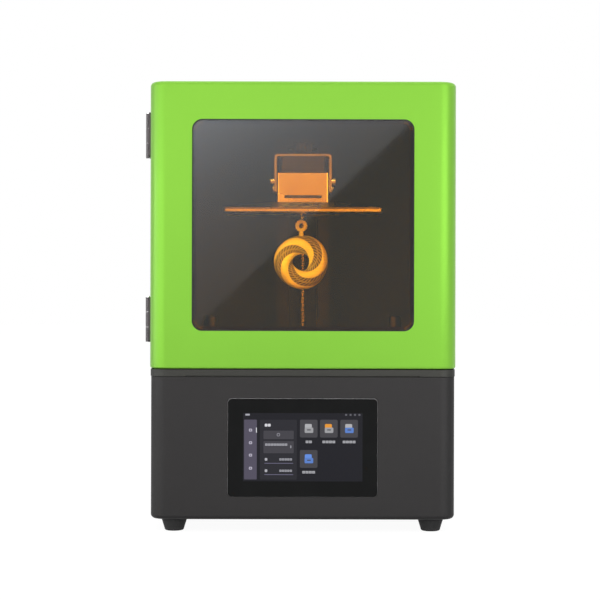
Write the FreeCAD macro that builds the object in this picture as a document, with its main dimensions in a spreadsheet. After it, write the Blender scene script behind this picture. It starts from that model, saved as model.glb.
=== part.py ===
import FreeCAD, Part
import math
import os
import re
from collections import namedtuple

import Sketcher
from FreeCAD import Vector

# A masked-light resin printer: a steel base with a touch display, a deck with a resin vat over
# a light engine, a hood with a hinged front door, and a build head on a lead screw.
# Millimetres. X is right, Y is back, Z is up; the origin is on the floor under the middle of
# the cabinet.

SIZES = {
    # cabinet
    "cabinet_width": 285.5,
    "cabinet_depth": 280,
    "base_height": 132.2,
    "base_inset": 1,
    "hood_height": 267.5,
    "corner_radius": 16,
    "edge_round": 4,
    "sheet_gauge": 1.6,
    # fits
    "running_gap": 0.3,
    "seat_gap": 0.25,
    "shaft_gap": 0.05,
    "cut_margin": 1,
    # base tub, bottom plate and feet
    "bottom_flange": 34,
    "top_flange": 14,
    "flange_radius": 6,
    "louvre_width": 3,
    "louvre_height": 36,
    "louvre_pitch": 8,
    "louvre_count": 10,
    "louvre_level": 48,
    "louvre_setback": 160,
    "floor_slot_width": 4,
    "floor_slot_length": 90,
    "floor_slot_pitch": 12,
    "floor_slot_count": 8,
    "foot_height": 12.3,
    "foot_top_radius": 11.8,
    "foot_sole_radius": 9.2,
    "foot_inset": 21.5,
    "foot_sole_round": 2,
    "foot_rim": 2,
    # deck
    "deck_thickness": 7,
    "deck_inset": 0.5,
    "deck_chamfer": 0.8,
    "shadow_line_width": 217,
    "shadow_line_height": 1.3,
    "shadow_line_depth": 3,
    # hood
    "lid_height": 10,
    "frame_border": 24,
    "frame_sill": 12,
    "frame_hem": 10,
    "frame_opening_radius": 8,
    "gasket_inset": 2.5,
    "gasket_width": 5,
    "gasket_thickness": 0.9,
    "gasket_radius": 1,
    "magnet_width": 7,
    "magnet_height": 26,
    "magnet_thickness": 0.8,
    "magnet_radius": 1,
    "magnet_spread": 150,
    # door
    "door_depth": 28,
    "door_gap": 1.2,
    "door_bottom_gap": 0.8,
    "door_wall": 2,
    "door_bottom_round": 2,
    "door_lip": 20,
    "window_width": 206,
    "window_height": 196.3,
    "window_radius": 9.5,
    "window_drop": 35.4,
    "window_thickness": 3,
    "window_recess": 0.4,
    "seal_width": 1.1,
    "seal_recess": 0.2,
    "retainer_lap": 4,
    "retainer_border": 8,
    "retainer_thickness": 2,
    # hinges
    "hinge_height": 42,
    "hinge_drop": 48.5,
    "hinge_rise": 46,
    "barrel_radius": 2.6,
    "hinge_pin_radius": 1.2,
    "leaf_thickness": 2,
    "leaf_start": 3.2,
    "door_leaf_reach": 13.2,
    "cabinet_leaf_reach": 22,
    "pin_head_height": 0.8,
    "pin_head_radius": 2.1,
    # display
    "glass_width": 138.7,
    "glass_height": 90.7,
    "glass_radius": 4,
    "glass_proud": 0.4,
    "screen_rise": 0.8,
    "bezel_lap": 4,
    "bezel_thickness": 1.6,
    "panel_width": 124,
    "panel_height": 80,
    "panel_thickness": 6,
    "panel_radius": 2,
    # light engine
    "lcd_width": 164,
    "lcd_depth": 98,
    "lcd_thickness": 5,
    "lcd_sink": 1.8,
    "lcd_ledge": 4,
    "lcd_radius": 3,
    "shroud_top_width": 170,
    "shroud_top_depth": 104,
    "shroud_bottom_width": 124,
    "shroud_bottom_depth": 68,
    "shroud_height": 74.4,
    "shroud_wall": 1.5,
    "shroud_flange": 8,
    "shroud_radius": 4,
    "lens_thickness": 6,
    "lens_rim": 3,
    "lens_hollow": 3,
    "lens_hollow_radius": 1,
    "circuit_thickness": 1.6,
    "led_size": 4,
    "led_height": 1.2,
    "led_columns": 6,
    "led_rows": 4,
    "led_pitch_x": 18,
    "led_pitch_y": 14,
    "sink_width": 130,
    "sink_depth": 74,
    "sink_plate": 5,
    "sink_fin_height": 21,
    "sink_fin_thickness": 2,
    "sink_fin_count": 12,
    # electronics
    "board_width": 100,
    "board_depth": 80,
    "board_side_gap": 8.4,
    "board_setback": 170,
    "board_radius": 3,
    "chip_size": 22,
    "chip_height": 6,
    "socket_width": 8,
    "socket_length": 60,
    "socket_height": 10,
    "standoff_radius": 3,
    "standoff_height": 6,
    "standoff_inset": 6,
    # rear and side fittings
    "inlet_height": 29,
    "dc_side_gap": 80,
    "dc_flange_radius": 6.5,
    "dc_flange_thickness": 1.2,
    "dc_barrel_radius": 5,
    "dc_barrel_length": 14,
    "dc_bore_radius": 2.8,
    "dc_bore_depth": 9,
    "switch_side_gap": 45,
    "switch_width": 13,
    "switch_height": 19,
    "switch_depth": 13,
    "switch_rim": 1.5,
    "switch_flange": 1.8,
    "rocker_width": 9,
    "rocker_height": 13.6,
    "rocker_travel": 16,
    "rocker_well_height": 15.4,
    "rocker_well_depth": 9,
    "rocker_pivot_depth": 3,
    "rocker_crown": 1.2,
    "rocker_dip": 1,
    "rocker_keel": 4,
    "trunnion_radius": 1.5,
    "trunnion_reach": 1.2,
    "usb_setback": 45,
    "usb_height": 49,
    "usb_slot_width": 12.5,
    "usb_slot_height": 4.8,
    "usb_slot_depth": 12,
    "usb_wall": 1.2,
    "usb_flange": 1.4,
    "usb_flange_thickness": 1,
    "usb_flange_radius": 1,
    "usb_length": 15,
    # fan
    "fan_side_gap": 38.4,
    "fan_level": 64,
    "fan_size": 60,
    "fan_depth": 15,
    "fan_bore_radius": 28.5,
    "fan_corner_radius": 4,
    "fan_hub_radius": 13,
    "fan_hub_depth": 11,
    "fan_hub_plate": 2,
    "fan_strut_width": 4,
    "fan_strut_root": 1,
    "fan_strut_count": 4,
    "fan_shaft_radius": 1.5,
    "fan_blade_reach": 25.4,
    "fan_blade_sweep": 6,
    "fan_blade_thickness": 1.4,
    "fan_blade_camber": 24,
    "fan_blade_margin": 0.5,
    "fan_blade_count": 7,
    "grille_radius": 27,
    "grille_slot_width": 3.4,
    "grille_pitch": 6,
    "grille_slot_pairs": 4,
    # Z axis
    "column_width": 56,
    "column_depth": 32,
    "column_height": 236,
    "column_rear_gap": 24,
    "channel_width": 30,
    "channel_depth": 26,
    "rail_width": 9,
    "rail_waist": 7.6,
    "rail_height": 6,
    "rail_length": 230,
    "rail_start": 2,
    "block_width": 17,
    "block_depth": 9,
    "block_height": 46,
    "block_lift": 1,
    "carriage_width": 62,
    "carriage_height": 60,
    "carriage_thickness": 8,
    "carriage_drop": 35,
    "screw_radius": 4,
    "screw_inset": 13,
    "screw_in_motor": 30,
    "screw_top_gap": 2,
    "nut_width": 24,
    "nut_height": 16,
    "nut_rear": 7,
    "nut_gap": 0.15,
    "bearing_height": 10,
    "motor_size": 42.3,
    "motor_height": 40,
    "motor_corner_radius": 4,
    "pilot_radius": 11,
    "pilot_height": 2,
    "motor_shaft_gap": 0.2,
    "sensor_width": 11,
    "sensor_depth": 12,
    "sensor_height": 14,
    "sensor_slot": 3,
    "sensor_slot_depth": 12,
    "sensor_level": 6,
    "flag_thickness": 1,
    "flag_height": 12,
    "flag_length": 26,
    # vat
    "vat_setback": 120,
    "vat_width": 204,
    "vat_depth": 140,
    "vat_height": 36,
    "vat_radius": 12,
    "vat_rim_round": 2,
    "well_width": 166,
    "well_depth": 100,
    "well_radius": 10,
    "grip_length": 60,
    "grip_height": 14,
    "grip_depth": 5,
    "grip_level": 10,
    "grip_radius": 3,
    "clamp_ring_width": 177,
    "clamp_ring_depth": 120,
    "clamp_ring_height": 3.4,
    "clamp_ring_inner_width": 168,
    "clamp_ring_inner_depth": 102,
    "clamp_ring_radius": 10,
    "clamp_ring_inner_radius": 3,
    "film_thickness": 0.2,
    "vat_screw_spread": 184,
    "vat_shank_radius": 2.4,
    "vat_shank_gap": 0.1,
    "vat_knob_radius": 6.5,
    "vat_knob_height": 13,
    "vat_knob_lift": 0.2,
    "vat_knob_round": 1,
    "flute_radius": 1.2,
    "vat_flute_count": 10,
    # build head
    "plate_rest_level": 150.8,
    "plate_width": 155.6,
    "plate_depth": 88,
    "plate_edge": 4,
    "plate_crown": 6.3,
    "plate_radius": 3,
    "crown_width": 62,
    "crown_depth": 46,
    "head_width": 51.5,
    "head_depth": 36,
    "head_height": 29.1,
    "head_radius": 2,
    "head_slot_width": 37,
    "head_slot_height": 3,
    "head_slot_level": 4.1,
    "head_slot_depth": 8,
    "arm_gap": 1,
    "arm_width": 45,
    "arm_height": 15.8,
    "gusset_reach": 16,
    "gusset_foot": 8,
    "gusset_drop": 28,
    "yoke_width": 56.5,
    "yoke_thickness": 2.2,
    "yoke_depth": 30,
    "yoke_leg": 37.5,
    "yoke_round": 3,
    "level_screw_radius": 1.95,
    "level_screw_gap": 0.1,
    "level_screw_grip": 8,
    "level_head_radius": 3.5,
    "upper_head_height": 4,
    "lower_head_height": 2,
    "level_screw_offset": 8,
    "upper_screw_level": 10.5,
    "lower_screw_level": 4.5,
    "clamp_knob_radius": 10,
    "clamp_knob_height": 12,
    "clamp_knob_foot_radius": 7,
    "clamp_knob_round": 2,
    "clamp_shank_radius": 3,
    "clamp_shank_length": 16,
    "clamp_flute_radius": 1.8,
    "clamp_flute_count": 9,
    # sample print that hangs from the plate
    "print_ring_radius": 17.4,
    "print_tube_radius": 8.3,
    "print_rib_radius": 1.7,
    "print_rib_count": 9,
    "print_rib_lean": 34,
    "print_drop": 48.3,
    "print_eye_radius": 4.4,
    "print_eye_tube": 1.7,
    "print_eye_drop": 12.1,
    "print_neck_radius": 2,
    "print_strut_radius": 0.9,
    "print_strut_spread": 14,
    "print_raft_radius": 3,
    "print_raft_height": 0.8,
}

# Levels and places that several pieces share, worked out from the sizes above.
PLACES = {
    "base_width": "cabinet_width - 2 * base_inset",
    "base_depth": "cabinet_depth - 2 * base_inset",
    "base_radius": "corner_radius - base_inset",
    "deck_width": "cabinet_width - 2 * deck_inset",
    "deck_depth": "cabinet_depth - 2 * deck_inset",
    "deck_radius": "corner_radius - deck_inset",
    "front": "-cabinet_depth / 2",
    "deck_bottom": "foot_height + base_height",
    "deck_top": "deck_bottom + deck_thickness",
    "hood_front": "front + door_depth + door_gap",
    "hood_depth": "cabinet_depth / 2 - hood_front",
    "wrap_height": "hood_height - lid_height",
    "door_height": "hood_height - door_bottom_gap",
    "window_level": "door_height - window_drop - window_height / 2",
    "hinge_x": "-(cabinet_width / 2 + barrel_radius + running_gap)",
    "hinge_y": "hood_front - door_gap / 2",
    "upper_hinge": "deck_top + hood_height - hinge_drop",
    "lower_hinge": "deck_top + hinge_rise",
    "knuckle": "(hinge_height - 2 * running_gap) / 3",
    "screen_level": "base_height / 2 + screen_rise",
    "floor_top": "foot_height + 2 * sheet_gauge",
    "vat_y": "front + vat_setback",
    "lcd_bottom": "deck_top - lcd_sink",
    "led_top": "deck_bottom - shroud_height",
    "board_x": "-(base_width / 2 - sheet_gauge - board_side_gap - board_width / 2)",
    "board_y": "front + board_setback",
    "column_front": "cabinet_depth / 2 - column_rear_gap - column_depth",
    "screw_y": "column_front + screw_inset",
    "rail_x": "(column_width + channel_width) / 4",
    "carriage_back": "column_front - block_lift - block_depth",
    "carriage_front": "carriage_back - carriage_thickness",
    "plate_bottom": "deck_top + plate_rest_level",
    "head_bottom": "plate_bottom + plate_edge + plate_crown",
    "arm_bottom": "head_bottom + head_height + arm_gap",
    "arm_top": "arm_bottom + arm_height",
    "carriage_bottom": "arm_bottom - carriage_drop",
    "carriage_middle": "carriage_bottom + carriage_height / 2",
    "vat_top": "deck_top + vat_height",
    "film_rebate": "clamp_ring_height + film_thickness",
    "rear_wall": "base_depth / 2",
    "dc_x": "-(base_width / 2 - dc_side_gap)",
    "switch_x": "-(base_width / 2 - switch_side_gap)",
    "fan_x": "base_width / 2 - sheet_gauge - fan_side_gap - fan_size / 2",
}

doc = FreeCAD.newDocument("resin_printer")
sheet = doc.addObject("Spreadsheet::Sheet", "dims")
for row, (name, size) in enumerate(SIZES.items(), 1):
    sheet.set(f"A{row}", name)
    sheet.set(f"B{row}", str(size))
    sheet.setAlias(f"B{row}", name)
doc.recompute()

nodes = []

Corner = namedtuple("Corner", "u v radius turn tangent", defaults=(None, 1, False))
Ring = namedtuple("Ring", "u v radius")
NORMAL_SIGN = {"XY": 1, "XZ": -1, "YZ": 1}
POINT_TOLERANCE = 0.001
EDGE_TOLERANCE = 0.01


def cells(text):
    """Spell a formula out in cells of the sheet."""

    def spell(match):
        word = match.group(0)
        if word in PLACES:
            return f"({cells(PLACES[word])})"
        return f"dims.{word}" if word in SIZES else word

    return re.sub(r"[a-z_]+", spell, text)


def value(text):
    """The number that a formula stands for."""
    return float(sheet.evalExpression(cells(text)))


def piece(label, x="0", y="0", z="0"):
    """Start a sub-part whose own origin lies at the given place."""
    body = doc.addObject("PartDesign::Body", label)
    body.Label = label
    body.AllowCompound = True
    for axis, place in zip("xyz", (x, y, z)):
        body.setExpression(f".Placement.Base.{axis}", cells(place))
    nodes.append(body)
    return body


def origin_feature(body, role):
    return next(item for item in body.Origin.OriginFeatures if item.Role == role)


def rounded(u, v, width, height, radius):
    """A rectangle with round corners about a centre, anticlockwise."""
    left, right = f"{u} - ({width}) / 2", f"{u} + ({width}) / 2"
    low, high = f"{v} - ({height}) / 2", f"{v} + ({height}) / 2"
    r = f"({radius})"
    return [
        Corner(f"{right} - {r}", low),
        Corner(right, f"{low} + {r}", r),
        Corner(right, f"{high} - {r}"),
        Corner(f"{right} - {r}", high, r),
        Corner(f"{left} + {r}", high),
        Corner(left, f"{high} - {r}", r),
        Corner(left, f"{low} + {r}"),
        Corner(f"{left} + {r}", low, r),
    ]


def rectangle(u, v, width, height):
    """A plain rectangle about a centre, anticlockwise."""
    left, right = f"{u} - ({width}) / 2", f"{u} + ({width}) / 2"
    low, high = f"{v} - ({height}) / 2", f"{v} + ({height}) / 2"
    return [Corner(left, low), Corner(right, low), Corner(right, high), Corner(left, high)]


def slot(u, v, width, height):
    """An upright slot with round ends about a centre, anticlockwise."""
    half = f"({width}) / 2"
    reach = f"(({height}) - ({width})) / 2"
    left, right = f"{u} - {half}", f"{u} + {half}"
    low, high = f"{v} - {reach}", f"{v} + {reach}"
    return [
        Corner(left, low),
        Corner(right, low, half, 1, True),
        Corner(right, high),
        Corner(left, high, half, 1, True),
    ]


def arc_between(start, end, radius, turn):
    """The arc under a half circle from start to end that turns left (1) or right (-1)."""
    chord = end - start
    height = math.sqrt(max(radius ** 2 - (chord.Length / 2) ** 2, 0))
    aside = Vector(-chord.y, chord.x, 0).normalize() * turn
    centre = (start + end) / 2 + aside * height
    first, last = (start, end) if turn > 0 else (end, start)
    angles = [math.atan2(p.y - centre.y, p.x - centre.x) for p in (first, last)]
    return Part.ArcOfCircle(Part.Circle(centre, Vector(0, 0, 1), radius), *angles)


def bind(sketch, kind, *terms):
    """Add a dimension to a sketch and tie it to its formula, the last term."""
    index = sketch.addConstraint(Sketcher.Constraint(kind, *terms[:-1], value(terms[-1])))
    sketch.setExpression(f"Constraints[{index}]", cells(terms[-1]))


def draw_ring(sketch, ring):
    centre = Vector(value(ring.u), value(ring.v), 0)
    geo = sketch.addGeometry(Part.Circle(centre, Vector(0, 0, 1), value(ring.radius)))
    bind(sketch, "DistanceX", geo, 3, ring.u)
    bind(sketch, "DistanceY", geo, 3, ring.v)
    bind(sketch, "Radius", geo, ring.radius)


def draw_outline(sketch, corners):
    """Draw a closed outline; a corner with a radius is reached by an arc."""
    points = [Vector(value(c.u), value(c.v), 0) for c in corners]
    ends = []
    for index, corner in enumerate(corners):
        start, end = points[index - 1], points[index]
        if corner.radius is None:
            geo = sketch.addGeometry(Part.LineSegment(start, end))
        else:
            arc = arc_between(start, end, value(corner.radius), corner.turn)
            geo = sketch.addGeometry(arc)
        ends.append((geo, 1, 2) if corner.turn > 0 else (geo, 2, 1))
    for index, corner in enumerate(corners):
        before, here = ends[index - 1], ends[index]
        joint = "Tangent" if corner.tangent else "Coincident"
        sketch.addConstraint(Sketcher.Constraint(joint, before[0], before[2], here[0], here[1]))
        if corner.radius is not None and not corner.tangent:
            bind(sketch, "Radius", here[0], corner.radius)
        bind(sketch, "DistanceX", here[0], here[2], corner.u)
        bind(sketch, "DistanceY", here[0], here[2], corner.v)


def drawn(body, plane, at, loops):
    """A sketch on a plane of the body, moved to a place along the plane's axis."""
    sketch = body.newObject("Sketcher::SketchObject", "Sketch")
    sketch.AttachmentSupport = [(origin_feature(body, f"{plane}_Plane"), "")]
    sketch.MapMode = "FlatFace"
    sketch.setExpression("AttachmentOffset.Base.z", cells(f"{NORMAL_SIGN[plane]} * ({at})"))
    for loop in loops:
        if isinstance(loop, Ring):
            draw_ring(sketch, loop)
        else:
            draw_outline(sketch, loop)
    return sketch


def settle(feature):
    """Recompute, and stop at a feature that failed."""
    doc.recompute()
    if "Invalid" in feature.State or "Error" in feature.State:
        raise ValueError(f"{feature.getParentGeoFeatureGroup().Label}: {feature.Name} failed")
    return feature


def pad(body, plane, at, loops, length, towards="+"):
    """Raise loops from a plane, towards the plus or minus end of its axis."""
    feature = body.newObject("PartDesign::Pad", "Pad")
    feature.Profile = drawn(body, plane, at, loops)
    feature.Reversed = (towards == "-") != (plane == "XZ")
    feature.setExpression("Length", cells(length))
    return settle(feature)


def pocket(body, plane, at, loops, depth, towards):
    """Cut loops from a plane, towards the plus or minus end of its axis."""
    before = body.Shape.Volume
    feature = body.newObject("PartDesign::Pocket", "Pocket")
    feature.Profile = drawn(body, plane, at, loops)
    feature.Reversed = (towards == "+") != (plane == "XZ")
    feature.setExpression("Length", cells(depth))
    settle(feature)
    if body.Shape.Volume > before - POINT_TOLERANCE:
        raise ValueError(f"{body.Label}: {feature.Name} cuts nothing")
    return feature


def revolve(body, corners):
    """Turn an outline of radius and height about the body's own Z axis."""
    feature = body.newObject("PartDesign::Revolution", "Revolution")
    feature.Profile = drawn(body, "XZ", "0", [corners])
    feature.ReferenceAxis = (origin_feature(body, "Z_Axis"), [""])
    return settle(feature)


def loft(body, kind, sections):
    """Join sections of (height, loop) by straight faces."""
    sketches = [drawn(body, "XY", at, [loop]) for at, loop in sections]
    feature = body.newObject(f"PartDesign::{kind}Loft", "Loft")
    feature.Profile = sketches[0]
    feature.Sections = sketches[1:]
    feature.Ruled = True
    return settle(feature)


def soften(body, kind, size, picked):
    """Fillet or chamfer the edges that a test picks."""
    tip = body.Tip
    edges = [f"Edge{i}" for i, edge in enumerate(tip.Shape.Edges, 1) if picked(edge)]
    feature = body.newObject(f"PartDesign::{kind}", kind)
    feature.Base = (tip, edges)
    feature.setExpression("Radius" if kind == "Fillet" else "Size", cells(size))
    return settle(feature)


def row_of(body, originals, axis, length, count, second=None):
    """Repeat features in a row, or in a grid when a second axis, length and count are given."""
    pattern = body.newObject("PartDesign::LinearPattern", "Row")
    pattern.Originals = originals
    pattern.Direction = (origin_feature(body, f"{axis}_Axis"), [""])
    pattern.setExpression("Length", cells(length))
    pattern.setExpression("Occurrences", cells(count))
    if second:
        pattern.Direction2 = (origin_feature(body, f"{second[0]}_Axis"), [""])
        pattern.setExpression("Length2", cells(second[1]))
        pattern.setExpression("Occurrences2", cells(second[2]))
    body.Tip = pattern
    return settle(pattern)


def circle_of(body, originals, axis, count):
    """Repeat features evenly round one of the body's axes."""
    pattern = body.newObject("PartDesign::PolarPattern", "Circle")
    pattern.Originals = originals
    pattern.Axis = (origin_feature(body, f"{axis}_Axis"), [""])
    pattern.Angle = 360
    pattern.setExpression("Occurrences", cells(count))
    body.Tip = pattern
    return settle(pattern)


def mirrored(body, originals, plane):
    mirror = body.newObject("PartDesign::Mirrored", "Mirror")
    mirror.Originals = originals
    mirror.MirrorPlane = (origin_feature(body, f"{plane}_Plane"), [""])
    body.Tip = mirror
    return settle(mirror)


def in_plane(edge, axis, place):
    """Whether an edge lies wholly in the plane where an axis has a value."""
    box = edge.BoundBox
    low, high = getattr(box, f"{axis}Min"), getattr(box, f"{axis}Max")
    return max(abs(low - value(place)), abs(high - value(place))) < EDGE_TOLERANCE


def middle(edge):
    return edge.valueAt((edge.FirstParameter + edge.LastParameter) / 2)


def outside(edge, half_width, half_depth):
    """Whether an edge's middle lies outside a rectangle about the body's origin."""
    point = middle(edge)
    return abs(point.x) > value(half_width) or abs(point.y) > value(half_depth)


def upright(edge):
    box = edge.BoundBox
    return max(box.XLength, box.YLength) < EDGE_TOLERANCE


# Base

def base_shell():
    """Steel tub with an inward flange at the bottom and at the top."""
    body = piece("base_shell", z="foot_height")
    outer = rounded("0", "0", "base_width", "base_depth", "base_radius")

    def inset(by, radius):
        return rounded("0", "0", f"base_width - 2 * {by}", f"base_depth - 2 * {by}", radius)

    pad(body, "XY", "0", [outer, inset("sheet_gauge", "base_radius - sheet_gauge")], "base_height")
    pad(body, "XY", "0", [outer, inset("bottom_flange", "flange_radius")], "sheet_gauge")
    pad(body, "XY", "base_height", [outer, inset("top_flange", "flange_radius")], "sheet_gauge", "-")
    half_width, half_depth = "base_width / 2 - base_radius", "base_depth / 2 - base_radius"
    soften(body, "Fillet", "edge_round",
           lambda e: in_plane(e, "Z", "0") and outside(e, half_width, half_depth))
    screen = rounded("0", "screen_level", "glass_width + 2 * seat_gap",
                     "glass_height + 2 * seat_gap", "glass_radius + seat_gap")
    pocket(body, "XZ", "-base_depth / 2", [screen], "2 * sheet_gauge", "+")
    grille = []
    pairs = int(value("grille_slot_pairs"))
    for step in range(-pairs, pairs + 1):
        reach = f"2 * sqrt(grille_radius ^ 2 - ({step} * grille_pitch) ^ 2)"
        grille.append(slot(f"fan_x + {step} * grille_pitch", "fan_level", "grille_slot_width", reach))
    switch = rectangle("switch_x", "inlet_height", "switch_width + 2 * seat_gap",
                       "switch_height + 2 * seat_gap")
    jack = Ring("dc_x", "inlet_height", "dc_barrel_radius + seat_gap")
    pocket(body, "XZ", "rear_wall", grille + [switch, jack], "2 * sheet_gauge", "-")
    usb = rectangle("usb_setback - cabinet_depth / 2", "usb_height",
                    "usb_slot_width + 2 * usb_wall + 2 * seat_gap",
                    "usb_slot_height + 2 * usb_wall + 2 * seat_gap")
    pocket(body, "YZ", "base_width / 2", [usb], "2 * sheet_gauge", "-")
    louvre = slot("louvre_setback - cabinet_depth / 2", "louvre_level",
                  "louvre_width", "louvre_height")
    cut = pocket(body, "YZ", "base_width / 2", [louvre], "base_width", "-")
    row_of(body, [cut], "Y", "louvre_pitch * (louvre_count - 1)", "louvre_count")


def bottom_plate():
    """Floor that lies on the tub's bottom flange, with slots under the heat sink."""
    body = piece("bottom_plate", z="foot_height + sheet_gauge")
    inset = "2 * (sheet_gauge + running_gap)"
    pad(body, "XY", "0", [rounded("0", "0", f"base_width - {inset}", f"base_depth - {inset}",
                                  "base_radius - sheet_gauge")], "sheet_gauge")
    first = slot("-floor_slot_pitch * (floor_slot_count - 1) / 2", "vat_y",
                 "floor_slot_width", "floor_slot_length")
    cut = pocket(body, "XY", "sheet_gauge", [first], "2 * sheet_gauge", "-")
    row_of(body, [cut], "X", "floor_slot_pitch * (floor_slot_count - 1)", "floor_slot_count")


def rubber_feet():
    """Four tapered rubber feet under the bottom flange."""
    along, across = "base_width / 2 - foot_inset", "base_depth / 2 - foot_inset"
    body = piece("rubber_feet", x=f"-({along})", y=f"-({across})")
    foot = revolve(body, [
        Corner("0", "0"),
        Corner("foot_sole_radius - foot_sole_round", "0"),
        Corner("foot_sole_radius", "foot_sole_round", "foot_sole_round"),
        Corner("foot_top_radius", "foot_height - foot_rim"),
        Corner("foot_top_radius", "foot_height"),
        Corner("0", "foot_height"),
    ])
    row_of(body, [foot], "X", f"2 * ({along})", "2", ("Y", f"2 * ({across})", "2"))


def deck_plate():
    """Top of the base: carries the mask screen, the vat, the column and the hood."""
    body = piece("deck_plate", z="deck_bottom")
    pad(body, "XY", "0", [rounded("0", "0", "deck_width", "deck_depth", "deck_radius")],
        "deck_thickness")
    soften(body, "Chamfer", "deck_chamfer", lambda e: in_plane(e, "Z", "0"))
    seat = rounded("0", "vat_y", "lcd_width + 2 * seat_gap", "lcd_depth + 2 * seat_gap",
                   "lcd_radius + seat_gap")
    pocket(body, "XY", "deck_thickness", [seat], "lcd_sink", "-")
    light = rounded("0", "vat_y", "lcd_width - 2 * lcd_ledge", "lcd_depth - 2 * lcd_ledge",
                    "lcd_radius")
    holes = [Ring("0", "screw_y", "pilot_radius + running_gap")]
    for side in ("-", ""):
        holes.append(Ring(f"{side}vat_screw_spread / 2", "vat_y", "vat_shank_radius + vat_shank_gap"))
    pocket(body, "XY", "deck_thickness", [light] + holes, "deck_thickness + cut_margin", "-")
    shadow_line = rectangle("0", "shadow_line_height / 2", "shadow_line_width", "shadow_line_height")
    pocket(body, "XZ", "-deck_depth / 2", [shadow_line], "shadow_line_depth", "+")


# Hood

def hood_outline(inset):
    """Outline of the hood in plan, from its flat front to its two round rear corners."""
    half, back = f"cabinet_width / 2 - {inset}", f"hood_depth - {inset}"
    r = f"(corner_radius - {inset})"
    return [
        Corner(f"-({half})", inset),
        Corner(half, inset),
        Corner(half, f"{back} - {r}"),
        Corner(f"{half} - {r}", back, r),
        Corner(f"-({half}) + {r}", back),
        Corner(f"-({half})", f"{back} - {r}", r),
    ]


def cabinet_wrap():
    """Sheet bent round both sides and the back."""
    body = piece("cabinet_wrap", y="hood_front", z="deck_top")
    half, back, r = "cabinet_width / 2", "hood_depth", "corner_radius"
    inner = "corner_radius - sheet_gauge"
    pad(body, "XY", "0", [[
        Corner(half, "0"),
        Corner(half, f"{back} - {r}"),
        Corner(f"{half} - {r}", back, r),
        Corner(f"-{half} + {r}", back),
        Corner(f"-{half}", f"{back} - {r}", r),
        Corner(f"-{half}", "0"),
        Corner(f"-{half} + sheet_gauge", "0"),
        Corner(f"-{half} + sheet_gauge", f"{back} - {r}"),
        Corner(f"-{half} + {r}", f"{back} - sheet_gauge", inner, -1),
        Corner(f"{half} - {r}", f"{back} - sheet_gauge"),
        Corner(f"{half} - sheet_gauge", f"{back} - {r}", inner, -1),
        Corner(f"{half} - sheet_gauge", "0"),
    ]], "wrap_height")


def cabinet_top():
    """Shallow lid that closes the hood."""
    body = piece("cabinet_top", y="hood_front", z="deck_top + wrap_height")
    pad(body, "XY", "0", [hood_outline("0")], "lid_height")
    soften(body, "Fillet", "edge_round",
           lambda e: in_plane(e, "Z", "lid_height") and not in_plane(e, "Y", "0"))
    pocket(body, "XY", "0", [hood_outline("sheet_gauge")], "lid_height - sheet_gauge", "+")


def front_frame():
    """Flat frame round the hood's mouth, with a hem turned into the hood."""
    body = piece("front_frame", y="hood_front", z="deck_top")
    width, height = "cabinet_width - 2 * sheet_gauge", "wrap_height"
    mouth = (f"{width} - 2 * frame_border", f"{height} - 2 * frame_sill")
    hole = rounded("0", "wrap_height / 2", *mouth, "frame_opening_radius")
    hem = rounded("0", "wrap_height / 2", f"{mouth[0]} + 2 * sheet_gauge",
                  f"{mouth[1]} + 2 * sheet_gauge", "frame_opening_radius + sheet_gauge")
    pad(body, "XZ", "0", [rectangle("0", "wrap_height / 2", width, height), hole], "sheet_gauge")
    pad(body, "XZ", "0", [hem, hole], "frame_hem")


def door_gasket():
    """Foam strip on the front frame that the door closes on."""
    body = piece("door_gasket", y="hood_front", z="deck_top + wrap_height / 2")

    def loop(inset, radius):
        return rounded("0", "0", f"cabinet_width - 2 * sheet_gauge - 2 * ({inset})",
                       f"wrap_height - 2 * ({inset})", radius)

    outer = loop("gasket_inset", "gasket_width + gasket_radius")
    inner = loop("gasket_inset + gasket_width", "gasket_radius")
    pad(body, "XZ", "0", [outer, inner], "gasket_thickness", "-")


def magnet_catches():
    """Two flat magnets that hold the steel door shut at its free edge."""
    inset = "sheet_gauge + gasket_inset + gasket_width + magnet_width"
    body = piece("magnet_catches", x=f"cabinet_width / 2 - ({inset})", y="hood_front",
                 z="deck_top + wrap_height / 2")
    lower = pad(body, "XZ", "0", [rounded("0", "-magnet_spread / 2", "magnet_width",
                                          "magnet_height", "magnet_radius")],
                "magnet_thickness", "-")
    row_of(body, [lower], "Z", "magnet_spread", "2")


# Door

def door_outline(inset, back):
    """Outline of the door in plan, with its two round front corners."""
    half, r = f"cabinet_width / 2 - {inset}", f"(corner_radius - {inset})"
    return [
        Corner(half, back),
        Corner(f"-({half})", back),
        Corner(f"-({half})", f"{inset} + {r}"),
        Corner(f"-({half}) + {r}", inset, r),
        Corner(f"{half} - {r}", inset),
        Corner(half, f"{inset} + {r}", r),
    ]


def door_frame():
    """Hollow steel door with round front corners, a window and a lip turned in at the back."""
    body = piece("door_frame", y="front", z="deck_top + door_bottom_gap")
    pad(body, "XY", "0", [door_outline("0", "door_depth")], "door_height")
    for size, level in (("edge_round", "door_height"), ("door_bottom_round", "0")):
        soften(body, "Fillet", size,
               lambda e: in_plane(e, "Z", level) and not in_plane(e, "Y", "door_depth"))
    pocket(body, "XY", "door_wall", [door_outline("door_wall", "door_depth - door_wall")],
           "door_height - 2 * door_wall", "+")
    mouth = rounded("0", "door_height / 2", "cabinet_width - 2 * door_lip",
                    "door_height - 2 * door_lip", "door_lip / 2")
    pocket(body, "XZ", "door_depth", [mouth], "2 * door_wall", "-")
    window = rounded("0", "window_level", "window_width", "window_height", "window_radius")
    pocket(body, "XZ", "0", [window], "2 * door_wall", "+")


def window_loop(inset, radius):
    return rounded("0", "window_level", f"window_width - 2 * ({inset})",
                   f"window_height - 2 * ({inset})", radius)


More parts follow.
